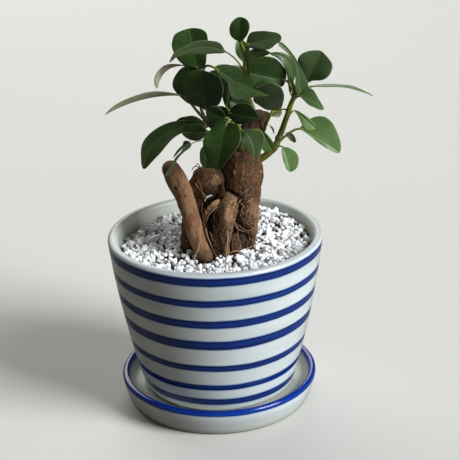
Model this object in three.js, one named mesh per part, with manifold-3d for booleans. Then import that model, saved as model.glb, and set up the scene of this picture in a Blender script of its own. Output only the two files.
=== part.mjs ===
// Ginseng ficus in a glazed striped pot that stands on its own saucer.
// Millimetres, +Z up. The origin is the middle of the saucer's flat underside,
// and the plant is seen from the -Y side.
import * as THREE from 'three';
import { mergeVertices } from 'three/addons/utils/BufferGeometryUtils.js';
import Module from 'manifold-3d';

const wasm = await Module();
wasm.setup();

// Saucer
const saucerFoot = 50.5;
const saucerRadius = 55.8;
const saucerHeight = 16.2;
const saucerFloor = 9;

// Pot
const potRadius = 60;
const potFoot = 39.8;
const potHeel = 42.9;
const potSwell = 6.85;
const potHeight = 91;
const lipHeight = 2.3;
const wall = 5;
const floorThickness = 6;
const footRecess = 1.5;
const drainRadius = 6;

// Filling
const soilTop = 81.5;
const gravelMiddle = 89;
const gravelRise = { right: 3, back: 2 };
const stonePitch = 9;
const stoneSize = 6.8;

// Clearances and section counts
const gap = 0.35;
const potSides = 40;
const bladeThickness = 0.9;
const bladeRows = 5;
const bladeColumns = 2;

const potTop = saucerFloor + potHeight;
const potFloor = saucerFloor + floorThickness;

// Solid helpers

function solid(geometry) {
  geometry.deleteAttribute('normal');
  geometry.deleteAttribute('uv');
  const merged = mergeVertices(geometry, 1e-4);
  const corners = merged.index.array;
  const kept = [];
  for (let i = 0; i < corners.length; i += 3) {
    const [a, b, c] = [corners[i], corners[i + 1], corners[i + 2]];
    if (a !== b && b !== c && c !== a) kept.push(a, b, c);
  }
  return new wasm.Manifold(new wasm.Mesh({
    numProp: 3,
    vertProperties: new Float32Array(merged.attributes.position.array),
    triVerts: new Uint32Array(kept),
  }));
}

function joined(solids) {
  return solids.reduce((whole, next) => whole.add(next));
}

function meshOf(name, shape, look) {
  const { vertProperties, triVerts } = shape.getMesh();
  const geometry = new THREE.BufferGeometry();
  geometry.setAttribute('position', new THREE.BufferAttribute(vertProperties, 3));
  geometry.setIndex(new THREE.BufferAttribute(triVerts, 1));
  geometry.computeVertexNormals();
  const mesh = new THREE.Mesh(geometry, new THREE.MeshStandardMaterial(look));
  mesh.name = name;
  return mesh;
}

// A profile of [radius, height] points turned round the Z axis
function turned(profile, sides = potSides) {
  const points = profile.map(([r, z]) => new THREE.Vector2(r, z));
  const geometry = new THREE.LatheGeometry(points, sides);
  geometry.rotateX(Math.PI / 2);
  return solid(geometry);
}

// Points of a circular arc in the profile plane, angles in degrees
function arc(centreR, centreZ, radius, from, to, steps) {
  return Array.from({ length: steps + 1 }, (_, i) => {
    const angle = THREE.MathUtils.degToRad(from + (to - from) * i / steps);
    return [centreR + radius * Math.cos(angle), centreZ + radius * Math.sin(angle)];
  });
}

// A direction from its compass angle in the XY plane and its height above it, in degrees
function pointing(azimuth, elevation) {
  const a = THREE.MathUtils.degToRad(azimuth);
  const e = THREE.MathUtils.degToRad(elevation);
  return new THREE.Vector3(Math.cos(e) * Math.cos(a), Math.cos(e) * Math.sin(a), Math.sin(e));
}

function seeded(seed) {
  let state = seed;
  return () => {
    state = (state * 1664525 + 1013904223) % 4294967296;
    return state / 4294967296;
  };
}

// A closed mesh through rings of equal length, with a pole at each end
function skinned(rings, firstPole, lastPole) {
  const sides = rings[0].length;
  const points = [firstPole, ...rings.flat(), lastPole];
  const corner = (ring, j) => 1 + ring * sides + (j % sides);
  const index = [];
  for (let j = 0; j < sides; j++) {
    index.push(0, corner(0, j + 1), corner(0, j));
    index.push(points.length - 1, corner(rings.length - 1, j), corner(rings.length - 1, j + 1));
    for (let k = 0; k + 1 < rings.length; k++) {
      index.push(corner(k, j), corner(k, j + 1), corner(k + 1, j + 1));
      index.push(corner(k, j), corner(k + 1, j + 1), corner(k + 1, j));
    }
  }
  const geometry = new THREE.BufferGeometry().setFromPoints(points);
  geometry.setIndex(index);
  return solid(geometry);
}

function smooth(path) {
  return new THREE.CatmullRomCurve3(path.map((point) => new THREE.Vector3(...point)));
}

// A root or stem: a round section that follows a smooth path and changes its radius.
// Domed limbs end in a blunt hemisphere, the others are cut square.
function limb({ path, radii, sides = 10, steps = 8, domed = false }, grow = 0) {
  const curve = path instanceof THREE.Curve ? path : smooth(path);
  const girth = new THREE.SplineCurve(radii.map((r, i) => new THREE.Vector2(i, r)));
  const stations = Array.from({ length: steps + 1 }, (_, k) => ({
    centre: curve.getPoint(k / steps),
    along: curve.getTangent(k / steps),
    radius: girth.getPoint(k / steps).y + grow,
  }));
  const first = stations[0];
  const last = stations[steps];
  const reach = (end) => (domed ? end.radius * 0.8 : grow);
  const firstPole = first.centre.clone().addScaledVector(first.along, -reach(first));
  const lastPole = last.centre.clone().addScaledVector(last.along, reach(last));
  if (domed) {
    const shoulder = (end, way) => ({
      centre: end.centre.clone().addScaledVector(end.along, way * end.radius * 0.55),
      along: end.along,
      radius: end.radius * 0.72,
    });
    stations.unshift(shoulder(first, -1));
    stations.push(shoulder(last, 1));
  } else {
    first.centre = firstPole;
    last.centre = lastPole;
  }
  const side = new THREE.Vector3(0.3, 1, 0.2);
  const rings = stations.map(({ centre, along, radius }) => {
    side.addScaledVector(along, -side.dot(along)).normalize();
    const other = new THREE.Vector3().crossVectors(along, side);
    return Array.from({ length: sides }, (_, j) => {
      const turn = 2 * Math.PI * j / sides;
      return centre.clone()
        .addScaledVector(side, radius * Math.cos(turn))
        .addScaledVector(other, radius * Math.sin(turn));
    });
  });
  return skinned(rings, firstPole, lastPole);
}

// Saucer

function saucer() {
  const lip = 1.9;
  const lipR = saucerRadius - lip;
  const profile = [
    [0, 0],
    [saucerFoot, 0],
    [saucerFoot + 1.2, 1],
    [saucerFoot + 3.4, 6],
    ...arc(lipR, saucerHeight - lip, lip, 0, 150, 5),
    [lipR - 3, 12.5],
    [lipR - 5, 10.2],
    [lipR - 8, saucerFloor],
    [0, saucerFloor],
  ];
  return turned(profile);
}

// Pot

// Outer radius at a height above the saucer's floor: a straight flare with a slight swell,
// counted from the heel, where the wall's line would meet the floor if it weren't rounded
function potRadiusAt(height) {
  const s = height / (potHeight - lipHeight);
  return potHeel + (potRadius - potHeel) * s + potSwell * s * (1 - s);
}

function wallPoints(heights, inset) {
  return heights.map((h) => [potRadiusAt(h) - inset, saucerFloor + h]);
}

function pot() {
  const shoulder = potHeight - lipHeight;
  const lipR = potRadius - wall / 2;
  const profile = [
    [drainRadius, saucerFloor + footRecess],
    [potFoot - 6, saucerFloor + footRecess],
    [potFoot - 5, saucerFloor],
    [potFoot, saucerFloor],
    [potFoot + 2.3, saucerFloor + 1],
    [potFoot + 3.9, saucerFloor + 3.2],
    ...wallPoints([6, 22, 40, 58, 74, shoulder], 0),
    ...arc(lipR, saucerFloor + shoulder, wall / 2, 35, 145, 3),
    ...wallPoints([shoulder - 4, 68, 46, 26, floorThickness + 5], wall),
    [potFoot - 4, potFloor],
    [drainRadius, potFloor],
    [drainRadius, saucerFloor + footRecess],
  ];
  return turned(profile);
}

// Trunk: a swollen main column with its cut top, a shoulder, and roots that reach down
// into the gravel and run together in one crown below it

const trunkLimbs = {
  column: {
    path: [[12, 3, 76], [12.8, 2, 95], [14.2, 1, 120], [16.5, 0, 140], [18.6, 0, 151], [22.6, 0, 161],
      [23.4, 0, 170]],
    radii: [11, 10.8, 11.3, 10.4, 8.8, 6.4, 4.6],
    steps: 9,
    domed: true,
  },
  shoulder: {
    path: [[15, 1, 142], [5, 0, 131], [-3, 0, 127.5], [-9, 3, 117], [-12, 5, 104], [-15, 6, 90],
      [-15, 6, 76]],
    radii: [6, 8.8, 8.9, 5, 4.2, 4, 3.6],
    steps: 9,
    domed: true,
  },
  propRoot: {
    path: [[-21.6, -6, 136.4], [-18, -8, 127], [-13.3, -11, 114], [-8, -14.5, 99], [-5, -16.5, 88],
      [-3.5, -16.5, 76]],
    radii: [6.1, 6, 5, 4, 4, 3.6],
    sides: 9,
    steps: 7,
    domed: true,
  },
  middleRoot: {
    path: [[13, 0, 126], [9.8, -7, 120], [8.2, -12, 111], [6.8, -15, 100], [7, -17, 89], [7, -17, 76]],
    radii: [5.5, 5.8, 4.9, 3, 2.3, 2.3],
    sides: 8,
    steps: 7,
    domed: true,
  },
  rightRoot: {
    path: [[17, 1, 126], [18.2, -4, 115], [18, -6.5, 105], [16.5, -7, 94], [14, -7, 76]],
    radii: [6, 6, 6, 5.4, 4.6],
    sides: 8,
    steps: 6,
    domed: true,
  },
  backRoot: {
    path: [[17, 5, 128], [20, 11, 108], [19, 13, 90], [18, 12, 76]],
    radii: [7, 6.5, 5, 4],
    sides: 8,
    steps: 5,
    domed: true,
  },
  innerRoot: {
    path: [[9, 5, 118], [3, 10, 106], [-3, 12, 90], [-4, 12, 76]],
    radii: [6, 5.4, 4.4, 4],
    sides: 8,
    steps: 5,
    domed: true,
  },
  rootFlap: {
    path: [[6, -6, 121], [1, -9, 116], [-4, -8, 109], [-6, -4, 99], [-6, -2, 78]],
    radii: [2.2, 2.4, 2, 1.6, 1.6],
    sides: 6,
    steps: 6,
    domed: true,
  },
};

const crown = {
  path: [[4, 0, 62], [4, 0, soilTop - gap]],
  radii: [24.6, 24.6],
  sides: 16,
  steps: 2,
};

function trunkRoots(grow = 0) {
  const limbs = Object.values(trunkLimbs).map((part) => limb(part, grow));
  return joined(limbs);
}

// Soil: fills the pot to just below the gravel, with one plain hole for the root crown

function soil() {
  const heights = [floorThickness + 5, 26, 46, soilTop - saucerFloor];
  const outer = wallPoints(heights, wall + gap);
  const fill = turned([[0, potFloor], [potFoot - 4.6, potFloor], ...outer, [0, soilTop]]);
  const hole = limb({ ...crown, path: [crown.path[0], [4, 0, soilTop + 4]] }, gap);
  return fill.subtract(hole);
}

// White gravel: a bed that slopes up to the back right, covered with chipped stones

function gravelLevel(x, y) {
  return gravelMiddle + gravelRise.right * x / potRadius + gravelRise.back * y / potRadius;
}

function gravelBed() {
  const reach = potRadiusAt(potHeight - 10) - wall - gap;
  const low = potRadiusAt(soilTop - saucerFloor) - wall - 2 * gap;
  const points = [[0, soilTop], [low, soilTop], [reach - 1.2, gravelMiddle], [0, gravelMiddle]];
  const geometry = new THREE.LatheGeometry(points.map(([r, z]) => new THREE.Vector2(r, z)), potSides);
  geometry.rotateX(Math.PI / 2);
  const place = geometry.attributes.position;
  for (let i = 0; i < place.count; i++) {
    if (place.getZ(i) > soilTop + 1) place.setZ(i, gravelLevel(place.getX(i), place.getY(i)));
  }
  return solid(geometry);
}

// A stone is a block with its corners knocked in by chance, tipped and half sunk
function chippedStone(random, x, y) {
  const geometry = new THREE.BoxGeometry(stoneSize, stoneSize, stoneSize * 0.8);
  geometry.deleteAttribute('normal');
  geometry.deleteAttribute('uv');
  const shape = mergeVertices(geometry, 1e-3);
  const place = shape.attributes.position;
  for (let i = 0; i < place.count; i++) {
    const chip = [0, 1, 2].map(() => 0.62 + 0.38 * random());
    place.setXYZ(i, place.getX(i) * chip[0], place.getY(i) * chip[1], place.getZ(i) * chip[2]);
  }
  shape.rotateX(0.5 * (random() - 0.5));
  shape.rotateY(0.5 * (random() - 0.5));
  shape.rotateZ(2 * Math.PI * random());
  shape.translate(x, y, gravelLevel(x, y) - 0.5 + 1.2 * random());
  return solid(shape);
}

function whiteGravel() {
  const random = seeded(7);
  const limit = potRadiusAt(potHeight - 12) - wall - 0.85 * stoneSize;
  const stones = [];
  const rowPitch = stonePitch * Math.sqrt(0.75);
  const rows = Math.ceil(limit / rowPitch);
  for (let row = -rows; row <= rows; row++) {
    for (let column = -rows; column <= rows; column++) {
      const x = (column + (row % 2 ? 0.5 : 0)) * stonePitch + 1.6 * (random() - 0.5);
      const y = row * rowPitch + 1.6 * (random() - 0.5);
      if (Math.hypot(x, y) < limit - 0.8 * stonePitch) stones.push(chippedStone(random, x, y));
    }
  }
  const ring = Math.round(2 * Math.PI * limit / stonePitch);
  for (let i = 0; i < ring; i++) {
    const turn = 2 * Math.PI * i / ring;
    stones.push(chippedStone(random, limit * Math.cos(turn), limit * Math.sin(turn)));
  }
  return joined([gravelBed(), ...stones]).subtract(trunkRoots(gap));
}

// Leaves

// Half width of a ficus blade along its length u from 0 to 1, as a share of the widest,
// which lies at the share peak of the length. Rounder leaves have a smaller power.
function bladeOutline(u, peak, power) {
  const stretch = Math.log(0.5) / Math.log(peak);
  return Math.sin(Math.PI * u ** stretch) ** power;
}

// The middle line of a leaf: from its base to its tip, lifted towards its upper side
function leafAxis({ from, to, faces, lift = 0 }) {
  const base = new THREE.Vector3(...from);
  const tip = new THREE.Vector3(...to);
  const along = tip.clone().sub(base).normalize();
  const up = pointing(...faces);
  up.addScaledVector(along, -up.dot(along)).normalize();
  const side = new THREE.Vector3().crossVectors(along, up);
  const crest = base.clone().add(tip).multiplyScalar(0.5).addScaledVector(up, 2 * lift);
  return { line: new THREE.QuadraticBezierCurve3(base, crest, tip), side };
}

function blade(leaf) {
  const { line, side } = leafAxis(leaf);
  const { wide, fold = 12, peak = 0.54, power = 0.8 } = leaf;
  const tilt = THREE.MathUtils.degToRad(fold);
  const rows = bladeRows;
  const columns = bladeColumns;
  const top = [];
  const under = [];
  for (let i = 0; i <= rows; i++) {
    const even = i / rows;
    const u = 0.5 * even + 0.25 * (1 - Math.cos(Math.PI * even));
    const centre = line.getPoint(u);
    const normal = new THREE.Vector3().crossVectors(side, line.getTangent(u));
    const half = 0.5 * wide * (i % rows ? bladeOutline(u, peak, power) : 0);
    for (let j = 0; j <= columns; j++) {
      const across = half * (2 * j / columns - 1);
      const point = centre.clone()
        .addScaledVector(side, across * Math.cos(tilt))
        .addScaledVector(normal, Math.abs(across) * Math.sin(tilt));
      top.push(point.clone().addScaledVector(normal, bladeThickness / 2));
      under.push(point.clone().addScaledVector(normal, -bladeThickness / 2));
    }
  }
  const stride = columns + 1;
  const upper = (i, j) => i * stride + j;
  const lower = (i, j) => top.length + i * stride + j;
  const index = [];
  for (let i = 0; i < rows; i++) {
    for (let j = 0; j < columns; j++) {
      index.push(upper(i, j), upper(i, j + 1), upper(i + 1, j + 1));
      index.push(upper(i, j), upper(i + 1, j + 1), upper(i + 1, j));
      index.push(lower(i, j), lower(i + 1, j + 1), lower(i, j + 1));
      index.push(lower(i, j), lower(i + 1, j), lower(i + 1, j + 1));
    }
    const far = columns;
    index.push(upper(i, 0), upper(i + 1, 0), lower(i + 1, 0));
    index.push(upper(i, 0), lower(i + 1, 0), lower(i, 0));
    index.push(upper(i, far), lower(i, far), lower(i + 1, far));
    index.push(upper(i, far), lower(i + 1, far), upper(i + 1, far));
  }
  const geometry = new THREE.BufferGeometry().setFromPoints([...top, ...under]);
  geometry.setIndex(index);
  return solid(geometry);
}

// A leaf stalk leaves its stem at the share `at` of the stem's length and runs into the blade
function stalk(leaf, stemCurve) {
  const { line } = leafAxis(leaf);
  const start = stemCurve.getPoint(leaf.at);
  const base = line.getPoint(0);
  const inside = line.getPoint(0.16);
  const heading = line.getTangent(0);
  const reach = 0.4 * start.distanceTo(base);
  const bend = base.clone().addScaledVector(heading, -reach);
  const curve = new THREE.CubicBezierCurve3(start, bend, base, inside);
  return limb({ path: curve, radii: [0.85, 0.75, 0.6], sides: 4, steps: 2 });
}

// Leafy stems

const shoots = {
  shoot_right: {
    stems: [{
      path: [[25, 0, 140.5], [30, 0, 144.5], [34, 0, 148], [36.4, 1, 153], [38.6, 2, 162],
        [40.4, 2, 169.8], [42.5, 2, 174.4], [44.5, 1, 179]],
      radii: [1.9, 1.8, 1.8, 1.6, 1.6, 1.4, 1.2, 1],
      steps: 10,
      leaves: [
        {
          at: 1, from: [42.6, -1, 187.4], to: [20.5, -7, 194], wide: 18, lift: 1.5,
          faces: [-95, 15], power: 0.6,
        },
        { at: 0.97, from: [44, 2, 182], to: [31.8, -3, 202.8], wide: 10, lift: 5, faces: [-35, 30] },
        {
          at: 1, from: [48.6, -5, 181], to: [36.3, -9, 209.2], wide: 9, lift: 4,
          faces: [-50, 12], peak: 0.4,
        },
        { at: 1, from: [47.6, -7, 179], to: [59.4, -15, 174], wide: 13, lift: 2.5, faces: [-60, 45] },
        {
          at: 1, from: [49.8, 5, 182.4], to: [59.4, 3, 200.5], wide: 19, lift: 1,
          faces: [-95, 20], power: 0.55,
        },
        { at: 0.95, from: [52.4, 5, 180.4], to: [87.4, 8, 173.4], wide: 14, lift: 1.8, faces: [90, 64] },
        {
          at: 0.45, from: [47.6, 0, 161.7], to: [68.3, -6, 146.6], wide: 17, lift: 4.5,
          faces: [-70, 45],
        },
        {
          at: 0.66, from: [45.4, -3, 170.6], to: [55, -8, 160.7], wide: 8.5, lift: 1.5,
          faces: [-75, 40],
        },
        { at: 0.28, from: [37.4, -1, 148.4], to: [43, -7, 136], wide: 9.5, lift: 1.5, faces: [-60, 30] },
        { at: 0.3, from: [40, 2, 155.4], to: [45.4, 4, 149.6], wide: 5, lift: 0.8, faces: [-60, 50] },
        { at: 0.66, from: [38.3, 5, 167.2], to: [30.8, 9, 163.3], wide: 6, lift: 0.8, faces: [90, 45] },
      ],
    }],
    colour: 0x4a6b32,
  },
  shoot_stump: {
    stems: [{
      path: [[27.4, -2.5, 158.5], [30, -6, 165], [32.6, -8.4, 170.6], [36, -8.6, 173.6]],
      radii: [1.3, 1.2, 1.1, 1],
      steps: 5,
      leaves: [
        {
          at: 0.96, from: [37.8, -9, 174.6], to: [22, -17.4, 185.4], wide: 16.5, lift: 1.5,
          faces: [-85, 30], power: 0.6,
        },
        {
          at: 0.35, from: [31.4, -5, 162.4], to: [33.4, -5, 157.6], wide: 2.4, lift: 0.4,
          faces: [-10, 20],
        },
      ],
    }],
    colour: 0x33512a,
  },
  shoot_centre: {
    stems: [{
      path: [[22.2, 1.5, 170], [19.6, 1, 178], [18.5, 0, 184.5], [18.5, 0, 192], [19.4, 1, 199],
        [19.6, 1.5, 202]],
      radii: [1.7, 1.5, 1.5, 1.4, 1.2, 1],
      steps: 7,
      leaves: [
        {
          at: 0.92, from: [17, 0, 207], to: [15.7, -2, 221.2], wide: 11.5, lift: 0.8,
          faces: [-90, 15], power: 0.6,
        },
        {
          at: 1, from: [20.4, 1.5, 202.9], to: [38.7, -5, 209.2], wide: 14, lift: 1,
          faces: [-80, 55], power: 0.6,
        },
        { at: 0.7, from: [18.6, 5, 195.4], to: [16.2, 7, 207], wide: 9.5, lift: 0.8, faces: [-90, 0] },
        { at: 0.62, from: [21, 0, 191], to: [31, -4, 203], wide: 9, lift: 1.6, faces: [95, 15] },
        {
          at: 0.55, from: [13.7, -8, 197.8], to: [-20.7, -14, 201.8], wide: 15, lift: 7.5,
          faces: [-90, 84],
        },
      ],
    }],
    colour: 0x3c5a34,
  },
  shoot_left: {
    stems: [{
      path: [[11.5, -4, 151.5], [5, -5.4, 159], [-1.5, -4.6, 163.7], [-4.6, -3, 169.5], [-6, -1, 176.6],
        [-4.2, 3, 184.4], [-3.6, 4, 190]],
      radii: [1.6, 1.5, 1.4, 1.2, 1.1, 1, 0.9],
      steps: 9,
      leaves: [
        {
          at: 0.92, from: [2.1, -14, 198.2], to: [29.6, -25, 185.2], wide: 24, lift: 1, faces: [-90, 50],
          fold: -35, peak: 0.28, power: 1.2,
        },
        {
          at: 0.62, from: [5.2, -9, 178.5], to: [-13, -17, 193.4], wide: 21, lift: 1.5,
          faces: [-95, 15], power: 0.6,
        },
        {
          at: 0.7, from: [-2.7, 0, 178], to: [-19.3, -4, 191.6], wide: 21.5, lift: 1,
          faces: [-95, 5], power: 0.6,
        },
        {
          at: 1, from: [-3.4, 5, 191.5], to: [-13.2, 4, 214.4], wide: 21, lift: 1,
          faces: [-90, 10], power: 0.6,
        },
        { at: 0.98, from: [-14, 8, 194.2], to: [-29, 8, 181.4], wide: 11, lift: 3.5, faces: [180, 40] },
      ],
    }, {
      path: [[-1.5, -4.6, 163.7], [-8, -3, 171.5], [-11.6, -1, 176], [-13.6, 0, 178]],
      radii: [1.2, 1, 1, 0.9],
      sides: 5,
      steps: 4,
      leaves: [
        { at: 1, from: [-16, 0, 179.4], to: [-56.9, -4, 171], wide: 13, lift: 2.8, faces: [90, 62] },
      ],
    }],
    colour: 0x2f4f2a,
  },
  shoot_left_low: {
    stems: [{
      path: [[11, -3, 146], [3, -4.5, 153.6], [-2.6, -3, 158.6], [-5, -1, 161.6]],
      radii: [1.6, 1.4, 1.2, 1],
      steps: 5,
      leaves: [
        { at: 1, from: [-6.2, -1, 163], to: [-38.5, -6, 140.8], wide: 18, lift: 8, faces: [-130, 45] },
        { at: 0.9, from: [-4, 4, 160], to: [-19.4, 7, 161.8], wide: 11, lift: 1.5, faces: [-90, 50] },
        {
          at: 0.8, from: [-2.5, -8.8, 161.9], to: [-18, -14, 164.2], wide: 12, lift: 1,
          faces: [-95, 5], power: 0.6,
        },
        {
          at: 0.4, from: [-10.2, -6, 154], to: [-24.8, -15.5, 139.8], wide: 8, lift: 1.5,
          faces: [-140, 30], fold: 35,
        },
        { at: 0.3, from: [1, -9.5, 156], to: [-5, -13.5, 143.6], wide: 12, lift: 1, faces: [-100, 10] },
      ],
    }],
    colour: 0x2f4f2a,
  },
  shoot_front: {
    stems: [{
      path: [[15.4, -6.5, 149.5], [15, -12, 156.5], [14.4, -16, 164], [12, -17, 171], [9, -15, 174.6]],
      radii: [1.5, 1.4, 1.3, 1.1, 0.9],
      steps: 6,
      leaves: [
        {
          at: 0.5, from: [8, -21, 169.8], to: [2.5, -31, 147.6], wide: 20, lift: 2.5,
          faces: [-98, 20], power: 0.9,
        },
        {
          at: 0.42, from: [17.6, -19, 164.6], to: [22.1, -26, 148.2], wide: 13, lift: 2,
          faces: [-100, 40],
        },
        { at: 0.35, from: [21.4, -15, 163.6], to: [31.4, -18, 153], wide: 12, lift: 2, faces: [-60, 40] },
        {
          at: 0.85, from: [9.4, -17.8, 174.4], to: [28, -25.6, 174.4], wide: 12.5, lift: 1.5,
          faces: [-90, 25],
        },
        { at: 0.75, from: [8, -19, 172], to: [-3.3, -24, 179], wide: 13, lift: 1, faces: [-100, 20] },
        { at: 1, from: [8, -14, 176.6], to: [7.4, -15, 190.4], wide: 9, lift: 0.8, faces: [-20, 0] },
      ],
    }],
    colour: 0x35582f,
  },
  shoot_back: {
    stems: [{
      path: [[20.4, 6, 151], [18.5, 10, 159], [15.4, 12, 169], [14.4, 13, 177]],
      radii: [1.6, 1.5, 1.3, 1],
      steps: 5,
      leaves: [
        { at: 0.9, from: [10, 15, 176], to: [-7, 26, 180], wide: 17, lift: 2, faces: [-100, 60] },
        { at: 1, from: [13, 16, 178], to: [12, 32, 186], wide: 15, lift: 2, faces: [-90, 60] },
        { at: 0.8, from: [20, 16, 174], to: [33, 28, 184], wide: 14, lift: 2, faces: [-80, 60] },
        { at: 0.45, from: [12, 14, 162], to: [-4, 24, 152], wide: 16, lift: 3, faces: [120, 50] },
        { at: 0.5, from: [22, 15, 163], to: [28, 29, 150], wide: 16, lift: 3, faces: [80, 50] },
      ],
    }],
    colour: 0x2b4a28,
  },
};

function leafyStem({ stems }) {
  const pieces = [];
  for (const stem of stems) {
    const curve = smooth(stem.path);
    pieces.push(limb({ sides: 5, ...stem }));
    for (const leaf of stem.leaves) {
      pieces.push(stalk(leaf, curve), blade(leaf));
    }
  }
  return joined(pieces);
}

// Each leafy stem stands in a close socket in the trunk
function trunk() {
  let wood = joined([trunkRoots(), limb(crown)]);
  for (const { stems } of Object.values(shoots)) {
    wood = wood.subtract(limb({ sides: 5, ...stems[0] }, 1.25 * gap));
  }
  return wood;
}

// The whole plant

const glaze = { color: 0xccd2d2, roughness: 0.18, metalness: 0 };
const group = new THREE.Group();
group.add(meshOf('saucer', saucer(), glaze));
group.add(meshOf('pot', pot(), glaze));
group.add(meshOf('soil', soil(), { color: 0x2e2219, roughness: 0.95, metalness: 0 }));
group.add(meshOf('white_gravel', whiteGravel(), { color: 0xe6e7e8, roughness: 0.75, metalness: 0 }));
group.add(meshOf('trunk', trunk(), { color: 0x6a4c35, roughness: 0.85, metalness: 0 }));
for (const [name, shoot] of Object.entries(shoots)) {
  group.add(meshOf(name, leafyStem(shoot), { color: shoot.colour, roughness: 0.45, metalness: 0 }));
}

export default group;
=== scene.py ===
import math
from itertools import combinations

import bpy
import numpy as np
from mathutils import Matrix


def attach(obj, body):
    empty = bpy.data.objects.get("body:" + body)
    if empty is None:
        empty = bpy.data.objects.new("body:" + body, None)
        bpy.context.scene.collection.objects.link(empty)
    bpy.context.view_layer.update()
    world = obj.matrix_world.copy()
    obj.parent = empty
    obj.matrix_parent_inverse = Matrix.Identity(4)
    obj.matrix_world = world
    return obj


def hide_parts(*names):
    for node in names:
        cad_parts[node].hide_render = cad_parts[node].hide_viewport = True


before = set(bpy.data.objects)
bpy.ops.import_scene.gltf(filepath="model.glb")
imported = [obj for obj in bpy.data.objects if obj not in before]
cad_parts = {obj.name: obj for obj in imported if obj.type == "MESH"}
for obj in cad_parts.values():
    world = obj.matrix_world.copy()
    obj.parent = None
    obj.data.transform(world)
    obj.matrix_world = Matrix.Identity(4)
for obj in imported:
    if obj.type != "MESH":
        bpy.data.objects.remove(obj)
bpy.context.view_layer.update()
print("solids loaded:", len(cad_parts), "nodes")

mm = 0.001  # shapes are worked out in millimetres, meshes are in metres


# Small tools for shapes

# A direction from its compass angle and its height above the ground, in degrees
def pointing(azimuth, elevation):
    a, e = math.radians(azimuth), math.radians(elevation)
    return np.array([math.cos(e) * math.cos(a), math.cos(e) * math.sin(a), math.sin(e)])


# Vectors brought to length 1
def unit(vectors):
    return vectors / np.maximum(np.linalg.norm(vectors, axis=-1, keepdims=True), 1e-9)


# Arrays put side by side, such as the coordinates of points
def sideBySide(*columns):
    return np.stack(np.broadcast_arrays(*columns), -1)


# Even steps once round a circle, in radians
def fullTurn(count):
    return np.linspace(0, 2 * np.pi, count, endpoint=False)


# Distance of each point from each place
def gapsTo(points, places):
    return np.linalg.norm(points[:, None] - places, axis=2)


# A value between 0 and 1 for each lattice cell: the fraction of a large sine of its corner
def cellValue(cells, seed):
    wave = np.sin(cells @ np.array([127.1, 311.7, 74.7]) + 17.3 * seed) * 43758.5453
    return wave - np.floor(wave)


# Smooth noise from -1 to 1: the values at the eight corners of the cell round each point,
# blended with 3t^2 - 2t^3 along each axis
def smoothNoise(points, size, seed=0):
    grid = points / size
    cell = np.floor(grid)
    t = grid - cell
    t = t * t * (3 - 2 * t)
    total = np.zeros(len(points))
    for corner in np.ndindex(2, 2, 2):
        weight = np.prod(np.where(np.array(corner) == 1, t, 1 - t), axis=1)
        total += weight * (2 * cellValue(cell + corner, seed) - 1)
    return total


# A smooth curve through the given points: a cubic between each pair, whose slope at a point
# is half the step between its neighbours, read at count even shares of the way
def smoothPath(points, count):
    p = np.asarray(points, float)
    flat = p.ndim == 1
    if flat:
        p = p[:, None]
    p = np.vstack([2 * p[0] - p[1], p, 2 * p[-1] - p[-2]])
    s = np.linspace(0, len(p) - 3, count)
    i = np.minimum(s.astype(int), len(p) - 4)
    t = (s - i)[:, None]
    a, b, c, d = p[i], p[i + 1], p[i + 2], p[i + 3]
    curve = 0.5 * (2 * b + (c - a) * t + (2 * a - 5 * b + 4 * c - d) * t ** 2
                   + (3 * b - a - 3 * c + d) * t ** 3)
    return curve[:, 0] if flat else curve


# Middle line and radii of a limb or a stem
def lineOf(form, count):
    return smoothPath(form["path"], count), smoothPath(form["radii"], count)


# Length of the way from the start of a path to each of its points
def runAlong(path):
    return np.append(0, np.cumsum(np.linalg.norm(np.diff(path, axis=0), axis=1)))


# Direction, side and other side along a path; the side is carried on from station to station
def pathFrames(path):
    along = unit(np.gradient(path, axis=0))
    side = np.zeros_like(path)
    last = np.array([0.3, 1.0, 0.2])
    for i, a in enumerate(along):
        last = last - a * (last @ a)
        last = last / np.linalg.norm(last)
        side[i] = last
    return along, side, np.cross(along, side)


# Faces of a grid of rows and columns whose columns close into a ring, with a pole before the
# first row and one after the last; the poles are the last two points
def ringFaces(rows, columns):
    i, j = np.meshgrid(np.arange(rows - 1), np.arange(columns), indexing="ij")
    k = (j + 1) % columns
    here, there = i * columns, (i + 1) * columns
    quads = sideBySide(here + j, here + k, there + k, there + j)
    j, k, firstPole, lastRow = j[0], k[0], rows * columns, (rows - 1) * columns
    foot = sideBySide(firstPole, k, j)
    top = sideBySide(firstPole + 1, lastRow + j, lastRow + k)
    return quads.reshape(-1, 4), np.vstack([foot, top])


# Six times the volume between some triangles and the origin: the sum of a . (b x c)
def volumeUnder(triangles):
    return np.einsum("ij,ij->", triangles[:, 0], np.cross(triangles[:, 1], triangles[:, 2]))


# A surface of closed rings with its two poles; it is turned inside out where its volume is negative
def ringSurface(rings, firstPole, lastPole, marks=None):
    rows, columns = rings.shape[:2]
    points = np.vstack([rings.reshape(-1, 3), firstPole, lastPole])
    quads, tris = ringFaces(rows, columns)
    if volumeUnder(points[np.vstack([tris, quads[:, :3], quads[:, [0, 2, 3]]])]) < 0:
        quads, tris = quads[:, ::-1], tris[:, ::-1]
    ready = {}
    for key, value in (marks or {}).items():
        grid = np.broadcast_to(value, (rows, columns))
        ready[key] = np.append(grid.ravel(), [grid[0].mean(), grid[-1].mean()])
    return {"points": points, "quads": quads, "tris": tris, "marks": ready}


# A round tube: path point + radius * (cos(turn) * side + sin(turn) * other), domed at both ends
def tube(path, radii, sides, marks=None):
    along, side, other = pathFrames(path)
    turn = fullTurn(sides)[:, None]
    ring = np.cos(turn) * side[:, None] + np.sin(turn) * other[:, None]
    rings = path[:, None] + np.asarray(radii)[:, None, None] * ring
    dome = 0.6  # height of the ends, in radii
    return ringSurface(rings, path[0] - dome * radii[0] * along[0], path[-1] + dome * radii[-1] * along[-1],
                       marks)


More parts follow.
